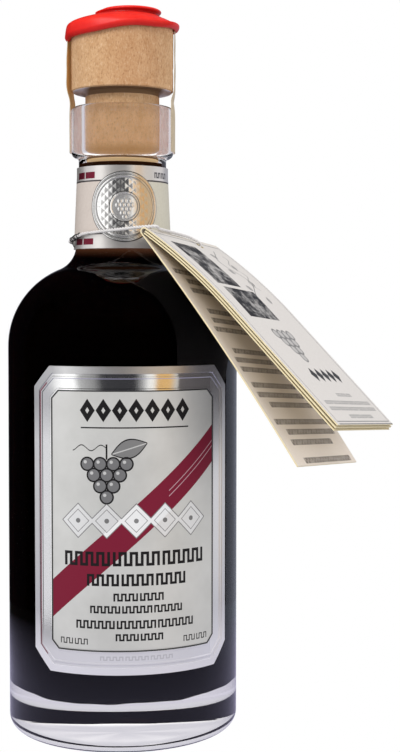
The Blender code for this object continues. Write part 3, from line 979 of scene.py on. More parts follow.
def band_finish():
    """Pearly paper with pale margins, two printed burgundy fields in each and a few grey marks."""
    finish = Finish("band_paper", (0.6, 0.57, 0.51), 0.42)
    u, v = finish.print_place()
    fibre = finish.grain(1500.0, detail=5.0)
    left = finish.shades(fibre, 0.25, 0.75, (0.54, 0.47, 0.415), (0.6, 0.53, 0.475))
    right = finish.shades(fibre, 0.25, 0.75, (0.53, 0.5, 0.4), (0.59, 0.56, 0.46))
    finish.paint(finish.shades(u, -8.0, 8.0, left, right))
    margin = v.above(UPPER_MARGIN) + v.below(LOWER_MARGIN)
    finish.paint((0.72, 0.69, 0.66), margin)
    lines = outline_of(v - UPPER_MARGIN, 0.2) + outline_of(v - LOWER_MARGIN, 0.18)
    finish.paint((0.06, 0.05, 0.05), lines)
    for height, tall in ((146.6, 0.85), (129.4, 0.8)):
        for middle in (-14.9, -11.0):
            finish.paint(BURGUNDY, box(u, v, (middle, height), 1.75, tall).below(0.0))
    finish.paint((0.12, 0.115, 0.12), key_row(u, v, (10.6, 146.7), 1.5, 0.72, 3, 2, 0.4))
    finish.set("Metallic", margin * 0.7)
    finish.set("Roughness", finish.blend(margin, 0.42, 0.3))
    finish.bump(fibre, 0.00003, 0.3)
    return finish


def seal_relief(radius, turn):
    """Height over the band: rings, a lattice of small pyramids and a bunch in a plain round field."""
    x, y, _ = around(turn, radius, 0.0)
    share = radius / SEAL_RADIUS
    rings = sum(math.exp(-(((share - place) / width) ** 2)) for place, width in SEAL_RINGS)
    inside = 1.0 / (1.0 + math.exp((share - 0.79) / 0.008))
    outside = 1.0 / (1.0 + math.exp((0.4 - share) / 0.008))
    first = (x + y) / LATTICE_PERIOD % 1.0
    second = (x - y) / LATTICE_PERIOD % 1.0
    pyramid = 1.0 - 2.0 * max(abs(first - HALF), abs(second - HALF))
    lattice = LATTICE_HEIGHT * pyramid * inside * outside
    return 0.00016 * rings + lattice + 0.0003 * cluster(x, y, 0.0027)


def make_seal(finish):
    """A round foil bent over the band, with its relief, and each vertex's share of its radius."""
    rows = []
    for step in range(SEAL_STEPS + 1):
        radius = SEAL_RADIUS * step / SEAL_STEPS + AXIS_RADIUS
        row = []
        for turn in directions(SEAL_TURNS):
            height = SEAL_HEIGHT - radius * math.cos(turn)
            under = neck_radius_at(height) + BAND_OUT
            lift = 0.00002 if step == SEAL_STEPS else 0.00006 + seal_relief(radius, turn)
            row.append(around(SEAL_ANGLE + radius * math.sin(turn) / under, under + lift, height))
        rows.append(row)
    inner = []
    for point in rows[-1]:
        flat = Vector((point[0], point[1], 0.0))
        flat -= flat.normalized() * 0.0002
        inner.append((flat.x, flat.y, point[2]))
    rows.append(inner)
    mesh = sheet_mesh("foil_seal", rows, wrap=True, caps=True)
    steps = [min(number // SEAL_TURNS, SEAL_STEPS) for number in range(len(mesh.vertices))]
    set_field(mesh, "print_u", [step / SEAL_STEPS for step in steps])
    return piece("foil_seal", mesh, [finish], "label_foil")


def seal_finish():
    """Silver foil with a painted gold reflection towards the right; dark lines follow its rings, and its
    middle mirrors the most.
    """
    finish = Finish("foil_seal", (0.92, 0.91, 0.89), 0.2, Metallic=0.78)
    x = finish.axes()[0]
    share = finish.field("print_u")
    # Painted reflection: a gold patch right of the middle.
    gold = finish.between(x, 0.0012, 0.0032) * finish.between(x, 0.0082, 0.0066)
    finish.paint((0.7, 0.54, 0.35), gold)
    for ring, half_width in ((0.985, 0.012), (0.9, 0.009), (0.425, 0.012)):
        finish.paint((0.2, 0.19, 0.18), outline_of(share - ring, half_width))
    mirror = finish.between(x, -0.0046, -0.0036) * finish.between(x, 0.0009, 0.0)
    mirror = mirror * share.above(0.425) * share.below(0.8)
    finish.set("Metallic", finish.blend(mirror, 0.78, 0.97))
    finish.set("Roughness", finish.blend(finish.grain(1400.0), 0.16, 0.28))
    return finish


# Front label

LABEL_HALF_WIDTH = 28.46
LABEL_LOW = 20.6
LABEL_HIGH = 97.8
LABEL_CUT = 5.3
LABEL_CUT_SLOPE = 0.54
LABEL_UNIT = 31.0
FRAME_PROFILE = (
    # inset from the edge and height over the glass, in millimetres
    (0.0, 0.0),
    (0.05, 0.3),
    (1.85, 0.36),
    (2.0, 0.22),
    (2.5, 0.22),
    (2.68, 0.43),
    (3.0, 0.43),
    (3.14, 0.32),
    (5.5, 0.34),
    (5.62, 0.42),
    (5.95, 0.42),
    (6.05, 0.26),
    (6.38, 0.26),
    (6.48, 0.34),
)
PANEL_INSET = 6.2
PANEL_STEP = 1.3
PANEL_LAST_STEP = 1.4
OCTAGON_POINTS = (56, 3, 20, 3, 56, 3, 20, 3)


def octagon(inset):
    """Points round the label's outline moved in by an inset, as (across, height) in millimetres."""
    half = LABEL_HALF_WIDTH - inset
    low = LABEL_LOW + inset
    high = LABEL_HIGH - inset
    cut = max(0.02, min(LABEL_CUT - LABEL_CUT_SLOPE * inset, half * HALF))
    corners = [(-half + cut, high), (half - cut, high), (half, high - cut), (half, low + cut)]
    corners += [(half - cut, low), (-half + cut, low), (-half, low + cut), (-half, high - cut)]
    points = []
    for first, second, count in zip(corners, corners[1:] + corners[:1], OCTAGON_POINTS):
        for step in range(count):
            share = step / count
            points.append(tuple(a + (b - a) * share for a, b in zip(first, second)))
    return points


def make_label(finish):
    """The foil bent round the glass: its stepped frame from the edge in, then the flat panel."""
    insets = list(FRAME_PROFILE)
    inset, panel_rise = FRAME_PROFILE[-1]
    while inset < LABEL_HALF_WIDTH - PANEL_LAST_STEP:
        inset += PANEL_STEP
        insets.append((inset, panel_rise))
    insets.append((LABEL_HALF_WIDTH - 0.05, panel_rise))
    rows = []
    places = []
    for inset, rise in insets:
        outline = octagon(inset)
        rows.append([around(u / LABEL_UNIT, LABEL_RADIUS + rise * MM, v * MM) for u, v in outline])
        places += outline
    nearer = 1.0 - LABEL_SINK / LABEL_RADIUS
    rows.insert(0, [(x * nearer, y * nearer, z) for x, y, z in rows[0]])
    count = len(rows[0])
    places = [(0.0, 0.0)] * count + places
    verts = [point for row in rows for point in row]
    faces = sheet_faces(len(rows), count, wrap=True)
    faces.append(tuple(range(len(verts) - count, len(verts))))
    mesh = outward_mesh("foil_label", verts, faces)
    set_print(mesh, *zip(*places))
    return piece("foil_label", mesh, [finish], "label_foil", "front_label")


PALE_GREY = (0.6, 0.6, 0.59)
DARK_GREY = (0.12, 0.12, 0.12)
LABEL_ROWS = (
    # place across and up, then the row's height, step, strokes in a group, groups and stroke
    ((-0.3, 49.9), 3.6, 1.4, 8, 3, 0.72),
    ((0.0, 44.6), 3.0, 1.25, 6, 3, 0.64),
    ((0.4, 40.3), 2.0, 0.95, 6, 2, 0.46),
    ((0.0, 37.2), 1.9, 0.9, 8, 3, 0.44),
    ((-0.2, 33.4), 2.1, 0.95, 10, 3, 0.46),
    ((0.6, 30.2), 1.8, 0.9, 6, 2, 0.44),
    ((-16.2, 29.0), 1.5, 0.8, 4, 2, 0.26),
    ((16.2, 29.0), 1.5, 0.8, 4, 2, 0.26),
)
BUNCH_PLACE = (-7.4, 73.6)
BUNCH_ROWS = (4, 3, 2, 1)


def label_finish():
    """Silver foil frame round a matt grey field with a burgundy stripe, black print and foil lozenges."""
    finish = Finish("label_foil", (0.6, 0.6, 0.58), 0.3, Specular_IOR_Level=0.15)
    u, v = finish.print_place()
    middle = (LABEL_LOW + LABEL_HIGH) * HALF
    half_wide = LABEL_HALF_WIDTH - PANEL_INSET
    half_high = (LABEL_HIGH - LABEL_LOW) * HALF - PANEL_INSET
    edge = box(u, v, (0.0, middle), half_wide, half_high)
    corner = abs(u) + abs(v - middle) - (half_wide + half_high - 1.95)
    edge = edge.larger(corner * 0.7071)
    panel = edge.below(0.0)
    grain = finish.grain(2600.0, detail=3.0)
    finish.paint(finish.shades(grain, 0.2, 0.8, (0.8, 0.8, 0.8), (0.88, 0.88, 0.88)))
    cloud = finish.grain(90.0, detail=3.0)
    finish.paint(finish.shades(cloud, 0.3, 0.7, (0.57, 0.57, 0.55), (0.65, 0.65, 0.63)), panel)
    # Painted reflection: towards the bottom the frame turns satin and is painted pale lavender, as the
    # floor mirrored in it.
    satin_and_floor_reflection = finish.between(v, 36.0, 26.0)
    finish.paint((0.76, 0.75, 0.8), satin_and_floor_reflection * edge.above(0.0))
    # Painted shade on the frame's upper left, beside its brightest reflection.
    upper = finish.between(v, 79.0, 88.0) * finish.between(u, -18.5, -22.0) * edge.above(0.0)
    finish.paint((0.35, 0.35, 0.36), upper * 0.55)
    finish.paint((0.3, 0.15, 0.18), outline_of(edge - 3.95, 0.24) * u.below(-24.0))

    # Diagonal stripe from low on the left to high on the right, with a fine double line
    rise = v - (u * 0.871 + 58.6)
    stripe = outline_of(rise, 4.75) * panel
    finish.paint(BURGUNDY, stripe)
    finish.paint((0.5, 0.3, 0.34), outline_of(abs(rise) - 0.7, 0.13) * u.above(8.5) * panel)

    # Frieze of lozenges at the top, over a line
    friezes = [(number * 4.1 - 12.3, 86.9) for number in range(7)]
    ink = nearest(lozenge(u, v, place, 1.95, 2.9) for place in friezes).below(0.0)
    ink = ink * nearest(lozenge(u, v, place, 0.5, 0.8) for place in friezes).above(0.0)
    ink = ink.larger(box(u, v, (0.0, 82.6), 14.0, 0.17).below(0.0))

    # Rows of print in the lower part
    for row in LABEL_ROWS:
        ink = ink.larger(key_row(u, v, *row))

    # Bunch of round fruit with one leaf, a stem and a curl, left of the middle
    fruit = list(bunch_places(BUNCH_PLACE, 3.3, -2.75, BUNCH_ROWS))
    shine = nearest(disc(u, v, (x - 0.5, y + 0.5), 0.42) for x, y in fruit)
    finish.paint((0.2, 0.2, 0.205), nearest(disc(u, v, place, 1.62) for place in fruit).below(0.0))
    finish.paint(PALE_GREY, shine.below(0.0))
    ink = ink.larger(nearest(abs(disc(u, v, place, 1.62)) for place in fruit).below(0.2))
    leaf, rib = leaf_distance(u, v, (-6.2, 76.0), 9.4, 2.3, 0.3)
    finish.paint((0.24, 0.24, 0.24), leaf.below(0.0))
    ink = ink.larger(outline_of(leaf, 0.16))
    finish.paint(PALE_GREY, rib.below(0.14))
    ink = ink.larger(box(u, v, (-7.4, 76.6), 0.22, 1.9).below(0.0))
    curl = outline_of(v - ((u * 1.25).sine() * 0.7 + 77.6), 0.13)
    ink = ink.larger(curl * u.above(-16.2) * u.below(-7.6))

    # Row of large foil lozenges across the stripe
    places = [((number - 2) * 7.4, 59.4) for number in range(5)]
    studs = nearest(lozenge(u, v, place, 4.3, 4.3) for place in places)
    finish.paint((0.74, 0.74, 0.74), studs.below(0.0))
    ink = ink * studs.above(0.0)
    fine = outline_of(studs, 0.035).larger(outline_of(studs + 0.34, 0.025))
    fine = fine.larger(nearest(disc(u, v, place, 0.6) for place in places).below(0.0))
    finish.paint((0.2, 0.2, 0.2), fine)
    finish.paint((0.3, 0.3, 0.32), key_row(u, v, (0.0, 24.9), 1.1, 0.8, 7, 3, 0.3) * 0.4)
    ink = ink * panel
    finish.paint((0.012, 0.011, 0.012), ink)
    groove = outline_of(edge - 0.08, 0.17)
    finish.paint((0.05, 0.05, 0.05), groove)

    printed = stripe.larger(ink).larger(groove)
    metal = finish.blend(panel, finish.blend(satin_and_floor_reflection, 1.0, 0.35), 0.3)
    finish.set("Metallic", metal.smaller(finish.blend(printed, 1.0, 0.0)))
    dull = edge.above(4.3).larger(u.above(21.6) * 0.7)
    finish.set("Roughness", finish.blend(panel, finish.blend(dull, 0.13, 0.5), 0.5))
    finish.bump(grain, 0.00002, 0.2)
    return finish


# Folded tag


def beside(points, distance):
    """The same line of (x, z) points moved square to itself, to its right."""
    moved = []
    for index, point in enumerate(points):
        before = points[max(index - 1, 0)]
        after = points[min(index + 1, len(points) - 1)]
        along = Vector((after[0] - before[0], after[1] - before[1])).normalized()
        moved.append((point[0] + along[1] * distance, point[1] - along[0] * distance))
    return moved


def leaf_path(start, angles, bend, length):
    """Points down a leaf's face: it steepens evenly over its bend and then stays straight."""
    x, z = start
    points = [(x, z)]
    for step in range(LEAF_STEPS):
        along = length * (step + HALF) / LEAF_STEPS
        angle = angles[0] + (angles[1] - angles[0]) * min(1.0, along / bend)
        x += math.cos(angle) * length / LEAF_STEPS
        z -= math.sin(angle) * length / LEAF_STEPS
        points.append((x, z))
    return points


def fold_centre():
    """The middle of the fold's round back, touching both leaves' outer faces."""
    up_angle = UPPER_LEAF_ANGLES[0]
    low_angle = LOWER_LEAF_ANGLES[0]
    into_upper = Vector((-math.sin(up_angle), -math.cos(up_angle)))
    into_lower = Vector((math.sin(low_angle), math.cos(low_angle)))
    lower_outer = Vector((0.0, -LEAF_SPACING)) - into_lower * CARD_THICKNESS
    rows = Matrix((into_upper, into_lower))
    return rows.inverted() @ Vector((FOLD_OUTER_RADIUS, FOLD_OUTER_RADIUS + lower_outer.dot(into_lower)))


def fold_arc(radius, centre):
    """The fold's round back from the upper leaf, past the neck's side, to the lower leaf."""
    start = math.pi * HALF - UPPER_LEAF_ANGLES[0]
    end = 1.5 * math.pi - LOWER_LEAF_ANGLES[0]
    points = []
    for step in range(FOLD_STEPS + 1):
        angle = start + (end - start) * step / FOLD_STEPS
        points.append((centre.x + radius * math.cos(angle), centre.y + radius * math.sin(angle)))
    return points


def tag_placing():
    """From the tag's own section, x away from the neck and y along the fold, to the model."""
    along = Vector((math.cos(TAG_TURN), math.sin(TAG_TURN), 0.0)) * math.cos(TAG_TILT)
    along.z = math.sin(TAG_TILT)
    away = along.cross(Vector((0.0, 0.0, 1.0))).normalized()
    up = away.cross(along).normalized()
    placing = Matrix((away, along, up)).transposed().to_4x4()
    placing.translation = TAG_FOLD_START
    return placing


def upper_leaf():
    return leaf_path((0.0, 0.0), UPPER_LEAF_ANGLES, UPPER_LEAF_BEND, UPPER_LEAF_LENGTH)


def lower_leaf():
    return leaf_path((0.0, -LEAF_SPACING), LOWER_LEAF_ANGLES, LOWER_LEAF_BEND, LOWER_LEAF_LENGTH)


def length_at(path, x):
    """How far down a leaf's path a place is."""
    total = 0.0
    for first, second in zip(path, path[1:]):
        if second[0] >= x:
            return total + (x - first[0]) / (second[0] - first[0]) * math.dist(first, second)
        total += math.dist(first, second)
    return total


def card(name, outer, inner, bends, finishes, slot, node, sides):
    """A bent card between two lines of (x, z), cut with the punched hole; sides has each strip's finish."""
    ys = [TAG_WIDTH * column / CARD_COLUMNS for column in range(CARD_COLUMNS + 1)]
    section = outer + inner[::-1]
    loop = len(section)
    count = len(outer)
    faces = sheet_faces(len(ys), loop, wrap=True)
    sides = sides[: count - 1] + [CARD_EDGE] + sides[count : loop - 1] + [CARD_EDGE]
    numbers = sides * CARD_COLUMNS
    for low in (0, CARD_COLUMNS * loop):
        for step in range(count - 1):
            other = low + loop - 1 - step
            faces.append((low + step, low + step + 1, other - 1, other))
            numbers.append(CARD_EDGE)
    mesh = outward_mesh(name, [(x, y, z) for y in ys for x, z in section], faces)
    for face, number in zip(mesh.polygons, numbers):
        face.material_index = number
    dress(mesh, finishes)
    obj = linked(name, mesh)
    cut = obj.modifiers.new("Hole", "BOOLEAN")
    cut.operation = "DIFFERENCE"
    cut.solver = "EXACT"
    cut.object = hole_cutter()
    depsgraph = bpy.context.evaluated_depsgraph_get()
    cut_mesh = bpy.data.meshes.new_from_object(obj.evaluated_get(depsgraph))
    bpy.data.objects.remove(cut.object)
    bpy.data.objects.remove(obj)
    along = [length_at(bends, v.co.x) / MM for v in cut_mesh.vertices]
    set_print(cut_mesh, [v.co.y / MM for v in cut_mesh.vertices], along)
    cut_mesh.transform(tag_placing())
    return piece(name, cut_mesh, finishes, slot, node)


def over_leaf(along_fold, from_fold):
    """A place on the upper leaf's face in the tag's own section, and the direction off that face."""
    angle = UPPER_LEAF_ANGLES[0]
    place = Vector((from_fold * math.cos(angle), along_fold, -from_fold * math.sin(angle)))
    return place, Vector((math.sin(angle), 0.0, math.cos(angle)))


def hole_cutter():
    """The round punch through all leaves, in the tag's own section."""
    bm = bmesh.new()
    radii = {"radius1": HOLE_RADIUS, "radius2": HOLE_RADIUS}
    bmesh.ops.create_cone(bm, cap_ends=True, segments=32, depth=HOLE_DEPTH, **radii)
    mesh = mesh_from("hole_cutter", bm)
    for face in mesh.polygons:
        face.material_index = CARD_EDGE
    cutter = linked("hole_cutter", mesh)
    place, normal = over_leaf(HOLE_ALONG_FOLD, HOLE_FROM_FOLD)
    turn = Vector((0.0, 0.0, 1.0)).rotation_difference(normal).to_matrix().to_4x4()
    cutter.matrix_world = Matrix.Translation(place) @ turn
    return cutter


def make_tag_cover(*finishes):
    """The folded card, with its finishes in the order of their numbers."""
    centre = fold_centre()
    upper = upper_leaf()
    lower = lower_leaf()
    upper_under = beside(upper, CARD_THICKNESS)
    lower_under = beside(lower, CARD_THICKNESS)
    outer = upper[:0:-1] + fold_arc(FOLD_OUTER_RADIUS, centre) + lower_under[1:]
    inner = upper_under[:0:-1] + fold_arc(FOLD_OUTER_RADIUS - CARD_THICKNESS, centre) + lower[1:]
    return card("tag_card", outer, inner, upper, finishes, "tag_card", "tag_cover", COVER_SIDES)


def make_tag_pages(face, edge):
    """Two thin leaves under the upper leaf; each fans out a little towards its free end."""
    depth = CARD_THICKNESS
    upper = upper_leaf()
    for node, thickness, fan in PAGES:
        depth += PAGE_GAP
        lines = []
        for line in (beside(upper, depth), beside(upper, depth + thickness)):
            share = PAGE_START / UPPER_LEAF_LENGTH * LEAF_STEPS
            whole = int(share)
            first = Vector(line[whole]).lerp(Vector(line[whole + 1]), share - whole)
            line = [tuple(first)] + line[whole + 1 :]
            lines.append([(x, z - fan * (x / upper[-1][0]) ** 2) for x, z in line])
        finishes = (face, face, edge)
        sides = [OUTSIDE] * (len(lines[0]) + len(lines[1]))
        card(node + "_leaf", lines[0], lines[1], upper, finishes, "tag_page", node, sides)
        depth += thickness


def fibrous(name, base, roughness, shades, scale=2400.0, detail=5.0, spread=0.25, strength=0.3):
    """A fibrous surface that varies between a darker and a lighter colour."""
    finish = Finish(name, base, roughness)
    fibre = finish.grain(scale, detail=detail)
    finish.paint(finish.shades(fibre, HALF - spread, HALF + spread, *shades))
    finish.bump(fibre, 0.00003, strength)
    return finish


def tag_ground(name, colour, shade):
    return fibrous(name, colour, 0.62, (shade, colour))


TAG_ROWS = (
    # place along the fold and down from it, then the row's height, step, strokes, groups and stroke
    ((23.8, 61.2), 1.1, 0.6, 5, 3, 0.3),
    ((21.8, 63.9), 1.2, 0.62, 8, 6, 0.32),
    ((21.8, 66.0), 1.2, 0.62, 10, 5, 0.32),
    ((22.6, 68.6), 1.2, 0.62, 6, 4, 0.32),
)


def tag_outside_finish():
    """The cover's printed face: a thin frame, two grey pictures, a tendril, a bunch and lines of print."""
    finish = fibrous("tag_card", (0.66, 0.63, 0.6), 0.55, ((0.6, 0.57, 0.54), (0.67, 0.64, 0.61)))
    u, v = finish.print_place()
    border = outline_of(box(u, v, (21.6, 36.2), 19.7, 34.1), 0.13)
    border = border.larger(outline_of(v - 71.15, 0.14) * u.above(1.6))
    finish.paint((0.16, 0.16, 0.16), border)
    picture = finish.grain(900.0, detail=6.0, roughness=0.75)
    soft = finish.grain(170.0, detail=3.0, distortion=0.6)
    tones = finish.shades(picture * 0.55 + soft * 0.6, 0.55, 0.76, (0.025, 0.023, 0.024), (0.54, 0.52, 0.5))
    for place, wide, high in (((13.3, 13.8), 7.3, 8.6), ((17.0, 29.0), 9.6, 5.4)):
        finish.paint(tones, box(u, v, place, wide, high).below(0.0))
    tendril = outline_of(u - ((v * 0.42).sine() * 3.4 + 29.5), 0.26)
    tendril = tendril * v.above(5.0) * v.below(27.0)
    small = outline_of(u - ((v * 0.84 + 0.9).sine() * 2.1 + 33.6), 0.2)
    tendril = tendril.larger(small * v.above(7.0) * v.below(22.0))
    for number in range(6):
        place = (25.6 + (number % 2) * 8.0, 7.5 + number * 3.4)
        leaf, rib = leaf_distance(u, v, place, 3.4, 0.9, 0.5 + 1.3 * (number % 2))
        tendril = tendril.larger(leaf.below(0.0) * rib.above(0.12))
    finish.paint(DARK_GREY, tendril * 0.8)
    fruit = [disc(u, v, place, 1.5) for place in bunch_places((19.5, 40.0), 3.2, 2.7, BUNCH_ROWS)]
    finish.paint((0.3, 0.3, 0.3), nearest(fruit).below(0.0) * 0.5)
    finish.paint(DARK_GREY, nearest(map(abs, fruit)).below(0.26) * 0.8)
    frieze = nearest(lozenge(u, v, (15.4 + number * 4.1, 54.3), 1.9, 2.4) for number in range(5))
    finish.paint((0.05, 0.05, 0.05), frieze.below(0.0))
    for row in TAG_ROWS:
        finish.paint((0.2, 0.2, 0.2), key_row(u, v, *row) * 0.8)
    return finish


def tag_inside_finish():
    """The lower leaf's inner face: blocks of printed lines, a small ring, and painted shade in the fold."""
    shades = ((0.76, 0.68, 0.6), (0.84, 0.76, 0.67))
    finish = fibrous("tag_card_inside", (0.6, 0.53, 0.45), 0.65, shades)
    u, v = finish.print_place()
    # Painted shade in the fold, before the leaf's start.
    ink = v.below(0.0)
    for number, top in enumerate((8.6, 18.9, 29.4, 38.3, 47.4, 56.6)):
        for line in range(3):
            groups, shift = ((8, 0.0), (7, 1.4), (6, -2.2), (8, 0.3))[(number + line) % 4]
            place = (21.4 + shift, top + 2.45 * line)
            ink = ink.larger(key_row(u, v, place, 1.35, 0.95, 4, groups, 0.58))
    ink = ink.larger(outline_of(disc(u, v, (7.0, 66.0), 2.1), 0.16))
    ink = ink.larger(disc(u, v, (7.0, 66.0), 0.55).below(0.0))
    finish.paint((0.07, 0.055, 0.045), ink * 0.85)
    return finish


# String


def on_tag(along_fold, from_fold, height):
    """A place over the upper leaf, measured along the fold, down the leaf and off its face."""
    place, normal = over_leaf(along_fold, from_fold)
    return tag_placing() @ (place + normal * height)


def round_neck(degrees, height, extra):
    """A place on the string's loop round the neck, at a direction from -Y towards +X."""
    return Vector(around(math.radians(degrees), STRING_LOOP_RADIUS + extra, height))


def string_route():
    """The string's closed route: round the neck, up through the tag's hole and along its fold."""
    route = [round_neck(*place) for place in STRING_ROUND_NECK]
    route += [on_tag(HOLE_ALONG_FOLD, HOLE_FROM_FOLD, height) for height in STRING_THROUGH_HOLE]
    route += [on_tag(*place) for place in STRING_OVER_FOLD]
    return route


def smooth_loop(points, count):
    """Evenly spaced points on a smooth closed curve through the given ones."""
    fine = []
    total = len(points)
    steps = STRING_FINE_STEPS
    for index in range(total):
        p0, p1, p2, p3 = (points[(index + shift) % total] for shift in (-1, 0, 1, 2))
        for step in range(steps):
            t = step / steps
            fine.append(between_knots(p0, p1, p2, p3, t))
    lengths = [0.0]
    for first, second in zip(fine, fine[1:] + fine[:1]):
        lengths.append(lengths[-1] + (second - first).length)
    even = []
    at = 0
    for number in range(count):
        target = lengths[-1] * number / count
        while lengths[at + 1] < target:
            at += 1
        share = (target - lengths[at]) / (lengths[at + 1] - lengths[at])
        even.append(fine[at].lerp(fine[(at + 1) % len(fine)], share))
    return even


def frames_along(points, loop):
    """Two directions square to the line at each point, turning as little as possible."""
    made = []
    last = len(points) - 1
    side = None
    for index in range(len(points)):
        if loop:
            along = points[(index + 1) % len(points)] - points[index - 1]
        else:
            along = points[min(index + 1, last)] - points[max(index - 1, 0)]
        along.normalize()
        if side is None:
            side = along.orthogonal().normalized()
        side = (side - along * side.dot(along)).normalized()
        made.append((side, along.cross(side)))
    return made


def spoke(frame, angle, reach):
    """A step off a line, at an angle between the two directions square to it."""
    side, up = frame
    return (side * math.cos(angle) + up * math.sin(angle)) * reach


def tube_rows(points, radius, loop):
    """Rings of points round a line."""
    rows = []
    for point, square in zip(points, frames_along(points, loop)):
        rows.append([tuple(point + spoke(square, turn, radius)) for turn in directions(TUBE_SIDES)])
    return rows


def make_string(finish):
    """Two strands twisted round each other along the whole route."""
    line = smooth_loop(string_route(), STRING_POINTS)
    frames = frames_along(line, True)
    verts = []
    faces = []
    for strand in range(2):
        points = []
        for index, (place, square) in enumerate(zip(line, frames)):
            angle = 2 * math.pi * STRING_TWISTS * index / STRING_POINTS + math.pi * strand
            points.append(place + spoke(square, angle, STRAND_FROM_MIDDLE))
        faces += sheet_faces(STRING_POINTS, TUBE_SIDES, wrap=True, closed=True, start=len(verts))
        for row in tube_rows(points, STRAND_RADIUS, True):
            verts += row
    mesh = outward_mesh("twisted_string", verts, faces)
    return piece("twisted_string", mesh, [finish], "white_thread", "tag_string")


def make_knot(finish):
    """A dark thread whipped round the string at the side, with a short end."""
    before = round_neck(*KNOT_START, 0.0)
    after = round_neck(*KNOT_END, 0.0)
    middle = (before + after) * HALF
    centre = round_neck((KNOT_START[0] + KNOT_END[0]) * HALF, middle.z, 0.0)
    along = (after - before).normalized()
    side = Vector((middle.x, middle.y, 0.0)).normalized()
    square = (side, along.cross(side))
    length = (after - before).length
    points = []
    for step in range(KNOT_STEPS + 1):
        share = step / KNOT_STEPS
        reach = 0.00055 + 0.00008 * math.sin(7 * share * math.pi)
        bow = side * (centre - middle).length * (1.0 - (2.0 * share - 1.0) ** 2)
        place = middle + bow + along * (share - HALF) * length
        points.append(place + spoke(square, 2 * math.pi * KNOT_TURNS * share, reach))
    drop = Vector((0.0002, -0.0004, -0.0019))
    for step in range(1, KNOT_END_STEPS + 1):
        share = step / KNOT_END_STEPS
        points.append(points[KNOT_STEPS] + drop * share + side * 0.0004 * math.sin(share * 3.0))
    rows = tube_rows(points, KNOT_THREAD_RADIUS, False)
    mesh = sheet_mesh("thread_knot", rows, wrap=True, caps=True)
    return piece("thread_knot", mesh, [finish], "white_thread")


def thread_finish(name, colour, shade):
    return fibrous(name, colour, 0.7, (shade, colour), scale=5000.0, detail=4.0, spread=0.2, strength=0.5)


# Studio: floor, backdrop, lights and camera

FOCAL_PIXELS = 1450
IMAGE_HEIGHT = 752
SENSOR_HEIGHT = 36
CAMERA_DISTANCE = 0.38866
CAMERA_HEIGHT = 0.11368
CAMERA_PITCH = 0.0509
CAMERA_YAW = 0.0532
CAMERA_ROLL = 0.0008
CAMERA_AZIMUTH = math.radians(-6.1)
FLOOR_RADIUS = 0.17
REFLECTOR_RADIUS = 0.9
REFLECTOR_HEIGHTS = (-0.55, -0.1, 0.2, 0.9)
REFLECTOR_END = 118
REFLECTOR_STEPS = 48
REFLECTOR_STOPS = (
    # direction in degrees from -Y towards +X, colour
    (-118, (0.7, 0.7, 0.73)),
    (-82, (0.8, 0.8, 0.83)),
    (-76, (1.3, 1.3, 1.3)),
    (-54, (1.3, 1.3, 1.3)),
    (-48, (0.5, 0.5, 0.5)),
    (-33, (0.3, 0.3, 0.3)),
    (-26, (0.05, 0.05, 0.055)),
    (6, (0.04, 0.04, 0.045)),
    (14, (0.5, 0.5, 0.5)),
    (18, (1.0, 1.0, 0.98)),
    (24, (1.0, 0.97, 0.9)),
    (27, (0.75, 0.45, 0.17)),
    (40, (0.8, 0.5, 0.2)),
    (46, (0.62, 0.6, 0.56)),
    (78, (0.62, 0.6, 0.58)),
    (84, (0.8, 0.79, 0.83)),
    (118, (0.8, 0.8, 0.84)),
)


def make_camera():
    """The photograph's viewpoint: a little to the left of the label's middle, looking slightly down."""
    turn = Matrix.Rotation(CAMERA_AZIMUTH, 3, "Z")
    ahead = Vector((math.sin(CAMERA_YAW), math.cos(CAMERA_YAW), 0.0)) * math.cos(CAMERA_PITCH)
    ahead.z = -math.sin(CAMERA_PITCH)
    ahead = turn @ ahead
    right = turn @ Vector((math.cos(CAMERA_YAW), -math.sin(CAMERA_YAW), 0.0))
    up = right.cross(ahead)
    rolled_right = right * math.cos(CAMERA_ROLL) + up * math.sin(CAMERA_ROLL)
    rolled_up = up * math.cos(CAMERA_ROLL) - right * math.sin(CAMERA_ROLL)
    data = bpy.data.cameras.new("camera")
    data.sensor_fit = "VERTICAL"
    data.sensor_height = SENSOR_HEIGHT
    data.lens = FOCAL_PIXELS * SENSOR_HEIGHT / IMAGE_HEIGHT
    data.clip_start = 0.01
    camera = linked("camera", data)
    placing = Matrix((rolled_right, rolled_up, -ahead)).transposed().to_4x4()
    placing.translation = turn @ Vector((0.0, -CAMERA_DISTANCE, CAMERA_HEIGHT))
    camera.matrix_world = placing
    bpy.context.scene.camera = camera


def make_floor():
    """A pale table top: plain white in view, a little lavender through glass, and dark further out."""
    bm = bmesh.new()
    bmesh.ops.create_circle(bm, cap_ends=True, segments=96, radius=FLOOR_RADIUS)
    mesh = mesh_from("floor", bm)
    finish = Finish("pale_floor", BLACK, 1.0)
    x, y, _ = finish.axes()
    rear_right = finish.between(x * 0.8 + y * 0.6, 0.03, 0.1)
    far = finish.mix(rear_right, (0.01, 0.01, 0.01), (0.33, 0.36, 0.44))
    fade = finish.between((x * x + y * y).root(), 0.075, 0.155)
    colour = finish.mix(fade, (0.42, 0.4, 0.58), far)
    colour = finish.mix(finish.seen_by("Diffuse"), colour, (0.6, 0.6, 0.62))
    colour = finish.mix(finish.seen_by("Transmission"), colour, (0.68, 0.66, 0.73))
    finish.only_glow(finish.mix(finish.seen_by("Camera"), colour, WHITE))
    dress(mesh, [finish])
    floor = linked("floor", mesh)
    floor.location = (0.0, 0.0, -0.0001)


def only(pieces):
    """A collection of the pieces that one light reaches."""
    receivers = bpy.data.collections.new("receivers")
    for obj in pieces:
        receivers.objects.link(obj)
    return receivers


